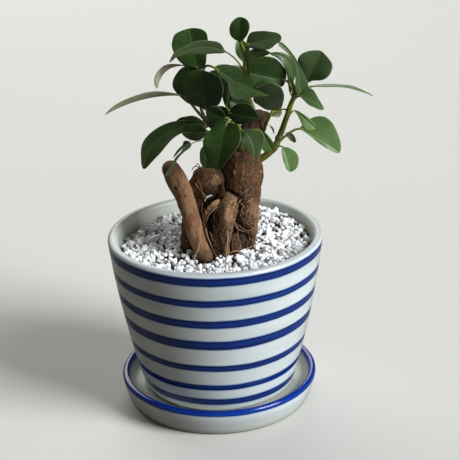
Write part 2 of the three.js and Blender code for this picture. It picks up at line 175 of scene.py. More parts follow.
# Several surfaces in one
def together(parts):
    starts = np.cumsum([0] + [len(part["points"]) for part in parts])
    joined = {faces: np.vstack([part[faces] + start for part, start in zip(parts, starts)])
              for faces in ("quads", "tris")}
    joined["points"] = np.vstack([part["points"] for part in parts])
    joined["marks"] = {key: np.concatenate([part["marks"][key] for part in parts])
                       for key in parts[0]["marks"]}
    return joined


# A surface as a mesh, in metres
def newMesh(name, shape):
    mesh = bpy.data.meshes.new(name)
    mesh.from_pydata((shape["points"] * mm).tolist(), [], shape["quads"].tolist() + shape["tris"].tolist())
    return mesh


def addToScene(name, data):
    made = bpy.data.objects.new(name, data)
    bpy.context.scene.collection.objects.link(made)
    return made


# Makes a finished piece of a surface, hangs it under the root body and hides the nodes it stands for
def makePiece(name, shape, material, nodes=(), smooth=True):
    mesh = newMesh(name, shape)
    for key, values in shape["marks"].items():
        mark = mesh.attributes.new(key, "FLOAT", "POINT")
        mark.data.foreach_set("value", values.astype(np.float32))
    if smooth:
        mesh.shade_smooth()
    mesh.materials.append(material)
    piece = addToScene(name, mesh)
    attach(piece, "root")
    if nodes:
        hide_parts(*nodes)
    print("made", name, len(mesh.polygons), "faces")


# Small tools for materials

# A colour as it looks on a screen, 0 to 255, turned into linear light
def screenColour(red, green, blue):
    c = np.array([red, green, blue]) / 255
    linear = np.where(c <= 0.04045, c / 12.92, ((c + 0.055) / 1.055) ** 2.4)
    return (*linear.tolist(), 1.0)


# Links a socket or sets its value; a colour is given as it looks on a screen
def fill(tree, socket, value):
    if isinstance(value, bpy.types.NodeSocket):
        tree.links.new(value, socket)
    elif socket.type == "RGBA":
        socket.default_value = screenColour(*value)
    else:
        socket.default_value = value


# Adds a node, sets its properties, fills its inputs and gives back its outputs
def addNode(tree, kind, inputs, **settings):
    made = tree.nodes.new("ShaderNode" + kind)
    for key, value in settings.items():
        setattr(made, key, value)
    for name, value in inputs.items():
        fill(tree, made.inputs[name], value)
    return made.outputs


def maths(tree, operation, a, b=0.0, clamp=False):
    return addNode(tree, "Math", {0: a, 1: b}, operation=operation, use_clamp=clamp)[0]


def plus(tree, a, b, clamp=False):
    return maths(tree, "ADD", a, b, clamp)


def minus(tree, a, b, clamp=False):
    return maths(tree, "SUBTRACT", a, b, clamp)


def times(tree, product, *factors):
    for factor in factors:
        product = maths(tree, "MULTIPLY", product, factor)
    return product


# A smooth step from 0 at low to 1 at high
def softStep(tree, value, low, high):
    return addNode(tree, "MapRange", {"Value": value, "From Min": low, "From Max": high},
                   interpolation_type="SMOOTHSTEP")[0]


def mixColours(tree, share, first, second):
    return addNode(tree, "Mix", {"Factor": share, 6: first, 7: second}, data_type="RGBA")[2]


# Colours laid one over another; each shows as far as the product of the factors before it says
def layered(tree, colour, *layers):
    for *factors, above in layers:
        colour = mixColours(tree, times(tree, *factors), colour, above)
    return colour


def noiseOn(tree, vector, scale, detail=3.0, roughness=0.55):
    return addNode(tree, "TexNoise", {"Vector": vector, "Scale": scale, "Detail": detail,
                                      "Roughness": roughness})[0]


# Patches where noise is high: 0 below low, 1 above high
def patches(tree, vector, scale, low, high, detail=3.0, roughness=0.55):
    return softStep(tree, noiseOn(tree, vector, scale, detail, roughness), low, high)


def markOf(tree, name):
    return addNode(tree, "Attribute", {}, attribute_name=name, attribute_type="GEOMETRY")["Fac"]


# Place on the object, in metres, stretched along its axes
def placeOn(tree, stretch=(1, 1, 1)):
    place = addNode(tree, "TexCoord", {})["Object"]
    return addNode(tree, "Mapping", {"Vector": place, "Scale": stretch})[0]


# Height above the ground, in mm
def heightAt(tree, place):
    return times(tree, addNode(tree, "SeparateXYZ", {0: place})[2], 1000.0)


# Distance from the Z axis, in mm: the length of the place with its height left out
def radiusAt(tree, place):
    flat = addNode(tree, "VectorMath", {0: place, 1: (1, 1, 0)}, operation="MULTIPLY")["Vector"]
    return times(tree, addNode(tree, "VectorMath", {0: flat}, operation="LENGTH")["Value"], 1000.0)


def newMaterial(name, roughness, specular=0.5, ior=1.5):
    material = bpy.data.materials.new(name)
    material.use_nodes = True
    shader = material.node_tree.nodes["Principled BSDF"]
    shader.inputs["Roughness"].default_value = roughness
    shader.inputs["Specular IOR Level"].default_value = specular
    shader.inputs["IOR"].default_value = ior
    return material, material.node_tree, shader


# Gives a shader its colour, a relief with its strength and its depth in metres, and a
# roughness that rises from one value to another with its mask
def finish(tree, shader, colour, relief=None, strength=0.0, depth=0.0, dull=None, rough=(0.0, 1.0)):
    tree.links.new(colour, shader.inputs["Base Color"])
    if relief is not None:
        bump = addNode(tree, "Bump", {"Height": relief, "Strength": strength, "Distance": depth})
        tree.links.new(bump[0], shader.inputs["Normal"])
    if dull is not None:
        rising = addNode(tree, "MapRange", {"Value": dull, "To Min": rough[0], "To Max": rough[1]})
        tree.links.new(rising[0], shader.inputs["Roughness"])


def newGroup(name, ins, outs):
    tree = bpy.data.node_groups.new(name, "ShaderNodeTree")
    for way, sockets in (("INPUT", ins), ("OUTPUT", outs)):
        for title, kind in sockets.items():
            tree.interface.new_socket(title, in_out=way, socket_type="NodeSocket" + kind)
    return tree, tree.nodes.new("NodeGroupInput").outputs, tree.nodes.new("NodeGroupOutput").inputs


def useGroup(tree, group, **inputs):
    return addNode(tree, "Group", inputs, node_tree=group)


# Shared effects

# One brush stripe: 1 between its two heights, with edges that waver a little, a tone that runs
# from 0 at the lower edge to 1 at the upper one, and a fringe 1.1 mm past both
def brushStripeGroup():
    tree, given, out = newGroup(
        "brushStripe", dict(Height="Float", Waver="Float", Bottom="Float", Top="Float", Blur="Float"),
        dict(Mask="Float", Tone="Float", Fringe="Float"))
    height = plus(tree, given["Height"], given["Waver"])
    bottom, top, blur, spread = given["Bottom"], given["Top"], given["Blur"], 1.1
    rise = softStep(tree, height, minus(tree, bottom, blur), plus(tree, bottom, blur))
    fall = softStep(tree, height, minus(tree, top, blur), plus(tree, top, blur))
    low = softStep(tree, height, minus(tree, bottom, spread), bottom)
    high = softStep(tree, height, plus(tree, top, spread), top)
    fill(tree, out["Mask"], times(tree, rise, minus(tree, 1.0, fall)))
    fill(tree, out["Tone"], softStep(tree, height, bottom, top))
    fill(tree, out["Fringe"], times(tree, low, high))
    return tree


# Cobalt under a glaze: darker where the brush pooled along the two edges, streaked along the stroke
def cobaltGroup():
    tree, given, out = newGroup("cobalt", dict(Tone="Float", Streak="Float", Light="Color", Dark="Color"),
                                dict(Color="Color"))
    edge = maths(tree, "ABSOLUTE", minus(tree, given["Tone"], 0.45))
    depth = plus(tree, times(tree, softStep(tree, edge, 0.22, 0.52), 0.65),
                 times(tree, given["Streak"], 0.5), clamp=True)
    fill(tree, out["Color"], mixColours(tree, depth, given["Light"], given["Dark"]))
    return tree


# Mottled colour: a base broken up by a broad and a fine noise
def mottleGroup():
    tree, given, out = newGroup("mottle", dict(Vector="Vector", Scale="Float", Base="Color", Patch="Color",
                                               Fleck="Color", Amount="Float"),
                                dict(Color="Color", Fine="Float"))
    vector, scale, amount = given["Vector"], given["Scale"], given["Amount"]
    fine = noiseOn(tree, vector, times(tree, scale, 5.0), 3.0, 0.7)
    fill(tree, out["Color"], layered(
        tree, given["Base"],
        (patches(tree, vector, scale, 0.42, 0.62, 4.0), amount, given["Patch"]),
        (softStep(tree, fine, 0.58, 0.72), amount, given["Fleck"])))
    fill(tree, out["Fine"], fine)
    return tree


brushStripe = brushStripeGroup()
cobalt = cobaltGroup()
mottle = mottleGroup()
print("shared effects ready")


# Pot and saucer

potForm = {
    "foot": 9.0,          # height of the saucer's floor, where the pot stands
    "height": 91.0,
    "rim": 60.0,
    "heel": 42.9,         # radius where the wall's line would meet the floor
    "swell": 6.85,
    "lip": 2.3,
    "wall": 5.0,
    "floor": 15.0,
    "drain": 6.0,
    "segments": 224,
    # lower and upper edge of each blue stripe, above the ground
    "stripes": [(93.0, 97.8), (80.3, 84.5), (66.9, 71.8), (52.9, 58.6), (38.1, 42.1), (25.1, 28.8),
                (14.6, 18.9)],
    "blur": 0.42,         # half width of a stripe's soft edge
    "glaze": (206, 214, 217),
    "shade": (190, 198, 198),
    "inside": ((184, 188, 178), (200, 203, 195)),
    # painted shade on the rim's top, for the darker room that it reflects
    "rimPaintedShade": (150, 158, 166),
    "clay": (176, 150, 120),
    "cobalt": ((14, 50, 124), (4, 22, 72)),
    "fringe": (122, 160, 204),
}

saucerForm = {
    "foot": 50.5,
    "radius": 55.8,
    "height": 16.2,
    "floor": 9.0,
    "lip": 1.9,
    "segments": 224,
    "band": (13.6, 51.5),  # the blue lip starts above this height and outside this radius
    "inside": ((172, 174, 162), (188, 190, 180)),
    "cobalt": ((10, 54, 146), (3, 26, 100)),
    "violet": (92, 104, 146),
    # painted reflection of the ground on the lower outer wall
    "paintedGroundReflection": (204, 196, 178),
    "clay": (170, 146, 112),
}


# Outer radius at a height above the pot's foot: heel to rim in a straight line, plus
# swell * s * (1 - s), where s is the share of the height
def potRadiusAt(height):
    s = height / (potForm["height"] - potForm["lip"])
    return potForm["heel"] + (potForm["rim"] - potForm["heel"]) * s + potForm["swell"] * s * (1 - s)


# A profile of radius and height turned round the Z axis; it closes on itself
def turned(profile, segments, marks):
    turn = fullTurn(segments)
    r, z = profile.T
    rows = len(profile)
    i, j = np.meshgrid(np.arange(rows), np.arange(segments), indexing="ij")
    n, k = (i + 1) % rows, (j + 1) % segments
    quads = sideBySide(i * segments + j, n * segments + j, n * segments + k, i * segments + k).reshape(-1, 4)
    if np.sum(r * np.roll(z, -1) - np.roll(r, -1) * z) > 0:
        quads = quads[:, ::-1]
    grid = sideBySide(r[:, None] * np.cos(turn), r[:, None] * np.sin(turn), z[:, None])
    ready = {key: np.repeat(value, segments) for key, value in marks.items()}
    return {"points": grid.reshape(-1, 3), "quads": quads, "tris": np.zeros((0, 3), int), "marks": ready}


# Points on a circle between two angles in degrees: centre + radius * (cos, sin)
def arc(centreR, centreZ, radius, start, end, count):
    a = np.radians(np.linspace(start, end, count))
    return sideBySide(centreR + radius * np.cos(a), centreZ + radius * np.sin(a))


# The pot's profile: under the foot, round the heel, up the wall, over the lip and down inside
def potSurface():
    p = potForm
    foot, top, wall, floor = p["foot"], p["height"] - p["lip"], p["wall"], p["floor"]
    up = np.linspace(6, top - 0.6, 64)
    down = np.linspace(top - 0.6, floor - foot + 6, 40)
    under = [(p["drain"], foot + 1.5), (33.6, foot + 1.5), (34.0, foot + 1.3), (34.8, foot + 0.1),
             (35.2, foot)]
    heel = smoothPath([(39.4, foot), (40.8, foot + 0.25), (42.6, foot + 1.6), (43.7, foot + 3.6)], 10)
    outer = sideBySide(potRadiusAt(up), foot + up)
    lip = arc(p["rim"] - wall / 2, foot + top, wall / 2, 8, 172, 18)
    lip[:, 1] = foot + top + (lip[:, 1] - foot - top) * p["lip"] / (wall / 2)
    inner = sideBySide(potRadiusAt(down) - wall, foot + down)
    bottom = [(40.0, floor + 1.5), (36.0, floor), (p["drain"], floor)]
    profile = np.vstack([under, heel, outer, lip, inner, bottom])
    first = len(under) + len(heel) + len(outer) + 3
    inside, rimPaintedShade = np.zeros(len(profile)), np.zeros(len(profile))
    inside[first:] = 1
    inside[first:first + 4] = np.linspace(0.2, 0.9, 4)
    # the painted shade on the rim's top rises and falls over the lip
    rimPaintedShade[first:first + 12] = np.sin(np.linspace(0.4, 3, 12))
    shape = turned(profile, p["segments"], {"inside": inside, "rimPaintedShade": rimPaintedShade})
    # the wall is hand thrown: it wavers by a tenth of a millimetre
    points = shape["points"]
    throwing = 0.1 * smoothNoise(points * np.array([0.2, 0.2, 1]), 9, 3) - 0.1
    points[:, :2] += unit(points[:, :2]) * throwing[:, None]
    return shape


# The glaze outside and inside, each clouded from its first colour to its second
def cloudedGlaze(tree, insideColours):
    cloud = noiseOn(tree, placeOn(tree, (12, 12, 60)), 1.0, 3)
    return (mixColours(tree, softStep(tree, cloud, 0.35, 0.7), potForm["glaze"], potForm["shade"]),
            mixColours(tree, softStep(tree, cloud, 0.3, 0.7), *insideColours))


def brushBlue(tree, tone, streak, light, dark):
    return useGroup(tree, cobalt, Tone=tone, Streak=streak, Light=light, Dark=dark)["Color"]


# Noise from -0.5 to 0.5 times a reach in mm: how far a brushed edge wanders
def wandering(tree, place, scale, reach):
    return times(tree, minus(tree, noiseOn(tree, place, scale, 4), 0.5), reach)


# White glaze with seven stripes on the outside, olive grey inside, painted shade on the rim's top, bare clay
# under the foot
def stripedGlaze():
    p = potForm
    material, tree, shader = newMaterial("stripedGlaze", 0.13, specular=0.33)
    place = placeOn(tree)
    height = heightAt(tree, place)
    waver = wandering(tree, place, 26, 1.5)
    mask, tone, fringe = 0.0, 0.0, 0.0
    for low, high in p["stripes"]:
        got = useGroup(tree, brushStripe, Height=height, Waver=waver, Bottom=low, Top=high, Blur=p["blur"])
        mask = plus(tree, mask, got["Mask"])
        tone = plus(tree, tone, times(tree, got["Mask"], got["Tone"]))
        fringe = plus(tree, fringe, got["Fringe"])
    streak = patches(tree, placeOn(tree, (14, 14, 1500)), 1.0, 0.42, 0.62, 3, 0.6)
    blue = brushBlue(tree, tone, streak, *p["cobalt"])
    glaze, olive = cloudedGlaze(tree, p["inside"])
    inside = markOf(tree, "inside")
    outside = minus(tree, 1.0, inside, clamp=True)
    bare = softStep(tree, height, p["foot"] + 0.7, p["foot"] + 0.2)
    colour = layered(tree, glaze, (fringe, outside, 0.6, p["fringe"]), (mask, outside, blue), (inside, olive),
                     # painted shade on the rim's top
                     (markOf(tree, "rimPaintedShade"), 0.8, p["rimPaintedShade"]), (bare, p["clay"]))
    ripple = plus(tree, noiseOn(tree, placeOn(tree, (6, 6, 220)), 1.0, 2),
                  times(tree, noiseOn(tree, place, 900, 2), 0.15))
    dull = maths(tree, "MAXIMUM", bare, times(tree, inside, 0.3))
    finish(tree, shader, colour, ripple, 0.12, 0.0006, dull, (0.13, 0.8))
    return material


# The saucer's profile: under its foot, up its curved wall, over the lip and down the gutter
def saucerSurface():
    s = saucerForm
    foot, lipR, lip, top, floor = s["foot"], s["radius"] - s["lip"], s["lip"], s["height"], s["floor"]
    under = [(0.02, 0.0), (25, 0.0), (foot - 1.0, 0.0)]
    wall = smoothPath([(foot, 0.0), (foot + 0.5, 0.25), (foot + 1.3, 1.2), (foot + 2.4, 3.4),
                       (foot + 3.5, 6.6), (foot + 4.7, 10.6), (s["radius"], top - lip - 0.4)], 40)
    crest = arc(lipR, top - lip, lip, 0, 165, 22)
    gutter = smoothPath([(lipR - lip - 0.1, top - lip - 0.5), (lipR - 2.9, 12.4), (lipR - 5.0, 10.1),
                         (lipR - 8.0, 9.1), (lipR - 12.0, floor - 0.05), (30, floor - 0.1)], 34)
    profile = np.vstack([under, wall, crest[1:], gutter, [(15, floor - 0.1), (0.02, floor - 0.1)]])
    inside = np.arange(len(profile)) >= len(under) + len(wall) + len(crest) - 3
    return turned(profile, s["segments"], {"inside": inside.astype(float)})


# The pot's glaze again, with one broad blue band over the lip, a violet line inside it and a painted
# reflection of the ground on the lower outer wall
def saucerGlaze():
    s = saucerForm
    material, tree, shader = newMaterial("saucerGlaze", 0.12, specular=0.33)
    place = placeOn(tree)
    radius, height = radiusAt(tree, place), heightAt(tree, place)
    waver = wandering(tree, place, 24, 1.3)
    level, reach = plus(tree, height, waver), plus(tree, radius, waver)
    low, near = s["band"]
    outer = softStep(tree, level, low - 0.25, low + 0.25)
    inner = softStep(tree, reach, near - 0.2, near + 0.25)
    fringe = softStep(tree, level, low - 1.3, low)
    pale = softStep(tree, reach, near - 0.9, near - 0.2)
    tone = softStep(tree, height, low, s["height"])
    streak = patches(tree, placeOn(tree, (16, 16, 1200)), 1.0, 0.45, 0.65)
    blue = brushBlue(tree, tone, streak, *s["cobalt"])
    glaze, olive = cloudedGlaze(tree, s["inside"])
    inside = markOf(tree, "inside")
    bare = softStep(tree, height, 0.9, 0.3)
    colour = layered(tree, glaze, (inside, olive), (fringe, inner, 0.6, potForm["fringe"]),
                     (pale, softStep(tree, height, 12.2, 13.4), minus(tree, 1.0, inner), 0.85, s["violet"]),
                     (inner, outer, blue),
                     # painted reflection of the ground, outside and towards the foot
                     (softStep(tree, height, 9, 1), minus(tree, 1.0, inside), 0.3, s["paintedGroundReflection"]),
                     (bare, s["clay"]))
    ripple = noiseOn(tree, placeOn(tree, (8, 8, 200)), 1.0, 2)
    dull = maths(tree, "MAXIMUM", bare, times(tree, inside, 0.4))
    finish(tree, shader, colour, ripple, 0.12, 0.0006, dull, (0.12, 0.8))
    return material


makePiece("stripedPot", potSurface(), stripedGlaze(), ["pot"])
makePiece("saucerDish", saucerSurface(), saucerGlaze(), ["saucer"])


# Trunk and roots

# Each limb runs through its path with the given radii; tone is how light its bark is, and below
# 0.34 it also paints shade, as on the limbs at the back of the hollows; ring is how strongly fine
# wrinkles run round it
limbs = {
    "stump": dict(
        path=[(14.9, 1, 134.2), (15.9, 1, 142.3), (18, 0.5, 149.4), (20.3, 0, 155.8), (22.8, 0, 161.4),
              (24.5, 0, 165.8)],
        radii=[11, 10.5, 9, 7.3, 5.8, 4.5], tone=0.42, ring=0.2, group="column"),
    "column": dict(
        path=[(14.9, 1, 143.5), (15, 1, 138.3), (15.1, 1, 132.5), (14.6, 1, 124.9), (14.6, 2, 117.4),
              (14.8, 3, 109.8), (14.6, 3, 101.4), (13.6, 3, 91.1), (12.4, 3, 79.5)],
        radii=[10.8, 11.6, 11.9, 11.5, 10.3, 9.5, 9.3, 7.9, 6.8], tone=0.42, ring=0.25, group="column"),
    "rightRoot": dict(
        path=[(18.9, 1, 125.9), (18.9, -2.5, 121.3), (18.5, -5, 117), (18.6, -6.5, 112.3),
              (19.4, -6, 106.7), (20.1, -5, 101.5), (19.6, -5, 96.1), (18, -5, 90.7), (16.5, -5, 82.9)],
        radii=[5.5, 5.7, 5.9, 5.7, 4.5, 3.4, 2.9, 2.4, 1.8], tone=0.95, ring=0.5,
        group="column", topTone=0.42),
    "shoulder": dict(
        path=[(2.5, -1, 131.6), (-1.4, -1, 131.1), (-4.7, -0.5, 129.8), (-7.2, 0, 127.1)],
        radii=[7.5, 8.1, 8, 6.8], tone=0.7, ring=0.15, group="shoulder"),
    "shoulderLeg": dict(
        path=[(-7.5, 1, 127.9), (-9.4, 2, 121.1), (-11.8, 1, 113.9), (-13.5, 0, 106), (-14.7, 0, 97.6),
              (-15.5, 0, 89.1), (-15.8, 0, 79.3)],
        radii=[5.9, 5, 4.4, 4.3, 4.2, 3.8, 3.2], tone=0.26, ring=0.5, group="shoulder"),
    "propRoot": dict(
        path=[(-23, -6, 139.4), (-20.6, -6.5, 134.6), (-17.7, -7.5, 128.5), (-15.3, -9, 122),
              (-13.3, -10.5, 114.9), (-11.5, -12, 107.8), (-9.7, -14, 100.9), (-7.7, -15.8, 96.2),
              (-5.6, -17, 92.2)],
        radii=[5, 5.7, 5.6, 5, 4.8, 4.6, 4.4, 4.2, 4.1], tone=0.95, ring=0.12, group="prop"),
    "middleRoot": dict(
        path=[(11.2, 1.5, 124.8), (9.9, -3.4, 123.2), (8.8, -6.6, 120.9), (7.5, -9, 117.2),
              (6.7, -11, 113.9), (6, -13, 109.4), (5.7, -14.5, 104.7), (5.6, -16, 99.4), (5.6, -17, 93.9),
              (5.5, -17.5, 87.5)],
        radii=[4.4, 5.9, 6.2, 5.7, 5, 4, 3.4, 2.6, 1.9, 1.4], tone=0.84, ring=0.6, group="middle"),
    # the heart limbs lie at the back of the hollows; their tone of 0 is painted shade
    "heart": dict(
        path=[(5.5, 8, 114.8), (3.1, 4, 108.6), (2.3, 1, 101.4), (2.6, 0, 92.8), (3.4, 0, 81.1)],
        radii=[7, 7.5, 7.5, 7.6, 7], tone=0, ring=0.8, group="heart"),
    "heartLeft": dict(
        path=[(-4.8, 7, 105.9), (-6.1, 5, 101.3), (-6.9, 3, 93.6), (-6.8, 1, 81)],
        radii=[4.5, 5.9, 6.2, 6.2], tone=0, ring=0.8, group="heart"),
    "heartRight": dict(
        path=[(13.1, 2, 109.1), (14.5, 0, 100.2), (14.8, -2, 92.6), (14.6, -2, 81.6)],
        radii=[5.8, 7, 6.7, 5.9], tone=0, ring=0.8, group="heart"),
    "lump": dict(
        path=[(2.6, -6, 116.7), (3.5, -8.5, 111.8), (3.8, -9.5, 106.9), (3.2, -10.5, 101.4),
              (2.2, -12, 95.4), (1.7, -12, 86.5)],
        radii=[3, 3.6, 4.2, 4.6, 4.4, 3.3], tone=0.74, ring=0.9, group="heart"),
    "lowLump": dict(
        path=[(9.8, -8, 98.9), (10.8, -10, 95.5), (11.2, -12, 92.8), (11.1, -12, 86.1)],
        radii=[2.2, 2.9, 2.8, 2.4], tone=0.2, ring=0.9, group="heart"),
    "rootFlap": dict(
        path=[(4.3, -7, 121.8), (1, -10, 120.7), (-1.8, -10.8, 118.8), (-4.2, -10.5, 115.8),
              (-5.6, -9.5, 112.2)],
        radii=[1.5, 2, 2, 1.7, 1.2], tone=0.86, ring=0.6, group="flap"),
    # a dark limb at the back of the hollows: painted shade
    "hollowShadeFill": dict(
        path=[(5.6, 4, 120.5), (1.6, 3, 117.2), (-2.6, 2.5, 114.2), (-6.4, 2, 110.3), (-8.2, 1.5, 105.2)],
        radii=[3.3, 3.5, 3.7, 3.7, 3.3], tone=0.05, ring=0.6, group="heart"),
    "flapRoot": dict(
        path=[(-5.5, -8, 113.7), (-5.6, -8, 108.9), (-5.3, -9, 103.4), (-4.3, -10, 97.2), (-3.2, -11, 91),
              (-2.8, -11, 83.7)],
        radii=[1.4, 1.3, 1.3, 1.4, 1.5, 1.6], tone=0.3, ring=0.6, group="flap"),
    "browRoot": dict(
        path=[(2.3, -5, 126.3), (3.7, -7.5, 129.3), (5.2, -9, 129.6), (5.2, -9.5, 126.8),
              (4.3, -9.5, 123.9)],
        radii=[0.8, 0.9, 0.9, 0.7, 0.6], tone=0.5, ring=0.3, group="flap"),
}

barkForm = {
    "voxel": 0.45,       # mm
    "smoothing": 7,
    "lumps": 0.6,        # height of the broad lumps, mm
    "fissures": 0.3,     # depth of the cracks along a limb, mm
    "wrinkles": 0.3,     # height of the fine rings round a root, mm
    "grain": 0.22,
    "crease": 0.9,       # depth of the crease between two limbs, mm
    # x, y, z and reach of the dark pits, and their depth
    "pits": [(-15.9, -13.6, 126.6, 0.75), (-14.2, -16.6, 115.6, 0.8), (-20.9, -12.6, 130.6, 1.1),
             (-13.4, -16.4, 118.6, 0.6), (-19.2, -12.4, 126, 0.6), (-22.6, -12.6, 132.4, 0.5),
             (-12.6, -18, 112, 0.5), (-9.6, -19.4, 105.6, 0.5)],
    "pitDepth": 0.4,
    # grooves: path, depth and reach; the first runs under the column above the root tops
    "grooves": [
        ([(2.3, -9, 129), (4.5, -10, 131.6), (6.7, -10.6, 129.8), (8.5, -10.8, 127.8),
          (11.4, -10.9, 125.8), (14.7, -10.6, 124)], 1.2, 0.7),
        ([(14.1, -10, 122), (14.3, -10.5, 118.1), (13.2, -10.5, 114.1), (12.2, -10, 109.8)], 0.9, 0.9)],
    "mottled": dict(Base=(91, 62, 35), Patch=(70, 46, 28), Fleck=(130, 98, 64), Scale=150.0, Amount=0.8),
    "mottledLight": dict(Base=(149, 116, 83), Patch=(116, 86, 59), Fleck=(164, 132, 98), Scale=110.0,
                         Amount=0.7),
    "dark": (36, 22, 13),
    "pale": (188, 160, 126),
    "reddish": (98, 54, 34),
}

# Mats of fine fibres over the front of the trunk: middle line, half widths, how many, tones
fibreMats = [
    dict(path=[(12.8, -10, 112.1), (14.3, -10, 105.5), (15.2, -10, 98.4), (14.6, -10, 91.8)],
         half=[4.1, 4.7, 5, 4.4], count=130, tones=(0.1, 0.95)),
    dict(path=[(-0.9, -10, 113.1), (-2.4, -10, 107.3), (-2.3, -10, 100.1), (-1.5, -10, 92.3)],
         half=[2.9, 4, 4.3, 4], count=150, tones=(0.15, 1.05)),
    dict(path=[(7.8, -10, 108.1), (6.2, -10, 101), (4.9, -10, 94.5), (4.5, -10, 89.1)],
         half=[2.6, 3.2, 4.1, 4.4], count=60, tones=(0.1, 0.8)),
    dict(path=[(20.4, -10, 111.3), (21.4, -10, 104.1), (20.2, -10, 95.2)],
         half=[2.7, 2.8, 3.3], count=30, tones=(0.3, 0.9)),
    dict(path=[(11.4, -10, 122.7), (14.6, -10, 119.7), (14, -10, 115.6)],
         half=[2.2, 2.2, 2.2], count=22, tones=(0, 0.5)),
    dict(path=[(-11.9, -10, 125.2), (-13.1, -10, 114.1), (-15, -10, 99.4)],
         half=[2.4, 2.5, 2.8], count=34, tones=(0.1, 0.6)),
    dict(path=[(10.7, -10, 138.4), (15.9, -10, 127.8)],
         half=[7, 7.6], count=12, tones=(0.2, 0.85)),
]

# The way from the viewer to the trunk, and the two directions across it
sight = unit(np.array([0.011, 0.925, -0.38]))
acrossSight = unit(np.cross(sight, [0, 0, 1]))
sightPlane = sideBySide(acrossSight, np.cross(acrossSight, sight))


# Half a ball on both ends of a limb: the path goes on by radius * sin(turn) while the radius
# falls as cos(turn)
def domed(path, radii):
    turn = np.radians([18, 36, 54, 72, 86])
    first, last = unit(path[0] - path[1]), unit(path[-1] - path[-2])
    before = path[0] + radii[0] * np.sin(turn)[::-1, None] * first
    after = path[-1] + radii[-1] * np.sin(turn)[:, None] * last
    return (np.vstack([before, path, after]),
            np.concatenate([radii[0] * np.cos(turn)[::-1], radii, radii[-1] * np.cos(turn)]))


# All limbs fused into one skin by a voxel grid and smoothed
def fusedLimbs():
    shape = together([tube(*domed(*lineOf(limb, 40)), 28) for limb in limbs.values()])
    body = addToScene("limbs", newMesh("limbs", shape))
    fused = body.modifiers.new("fused", "REMESH")
    fused.mode = "VOXEL"
    fused.voxel_size = barkForm["voxel"] * mm
    soft = body.modifiers.new("soft", "SMOOTH")
    soft.factor = 0.5
    soft.iterations = barkForm["smoothing"]
    ready = body.evaluated_get(bpy.context.evaluated_depsgraph_get()).to_mesh()
    points, normals = np.zeros((2, len(ready.vertices) * 3))
    ready.vertices.foreach_get("co", points)
    ready.vertices.foreach_get("normal", normals)
    corners = np.zeros(len(ready.loops), int)
    ready.loops.foreach_get("vertex_index", corners)
    bpy.data.objects.remove(body)
    return points.reshape(-1, 3) / mm, normals.reshape(-1, 3), corners.reshape(-1, 4)


# For each point: how far along its nearest limb it is, how it lies round it, the tone and wrinkles
# (means over the limbs, weighted by exp(-gap / 0.8); a limb's tone may start at its topTone),
# whether that limb is the smooth one, and how close a limb of another group comes (1 in a crease)
def limbPlaces(points):
    count = len(points)
    nearestGap = np.full(count, 1e3)
    groups = {}
    along, smooth = np.zeros(count), np.zeros(count)
    offset, total = np.zeros((count, 3)), np.zeros((3, count))
    for limb in limbs.values():
        path, radii = lineOf(limb, 60)
        run = runAlong(path)
        away = gapsTo(points, path) - radii
        nearest = away.argmin(axis=1)
        gap = away[np.arange(count), nearest]
        first = gap < nearestGap
        nearestGap = np.where(first, gap, nearestGap)
        groups[limb["group"]] = np.minimum(groups.get(limb["group"], 1e3), gap)
        along = np.where(first, run[nearest], along)
        offset = np.where(first[:, None], points - path[nearest], offset)
        smooth = np.where(first, float(limb["group"] == "prop"), smooth)
        weight = np.exp(-np.maximum(gap, -6) / 0.8)
        tone = np.interp(run[nearest], [5, 17], [limb.get("topTone", limb["tone"]), limb["tone"]])
        total += weight * np.stack([np.ones(count), tone, np.full(count, limb["ring"])])
    gaps = np.sort(np.stack(list(groups.values())), axis=0)
    crease = np.exp(-(gaps[1] - gaps[0]) / 0.65)
    tone, ring = total[1:] / total[0]
    tone = np.where(smooth > 0, limbs["propRoot"]["tone"], np.minimum(tone, 0.89))
    return along, offset, tone, ring, smooth, crease


# How deep in a mat of fibres each point of the trunk's front lies, 1 near its middle line and 0
# past 1.25 half widths; the last mat is too sparse to count
def matShare(points):
    flat = points @ sightPlane
    share = np.zeros(len(points))
    for mat in fibreMats[:-1]:
        middle, half = smoothPath(mat["path"], 40) @ sightPlane, smoothPath(mat["half"], 40)
        away = (gapsTo(flat, middle) / half).min(axis=1)
        share = np.maximum(share, np.clip(1.25 - away, 0, 1))
    return share * (points[:, 1] < 0)


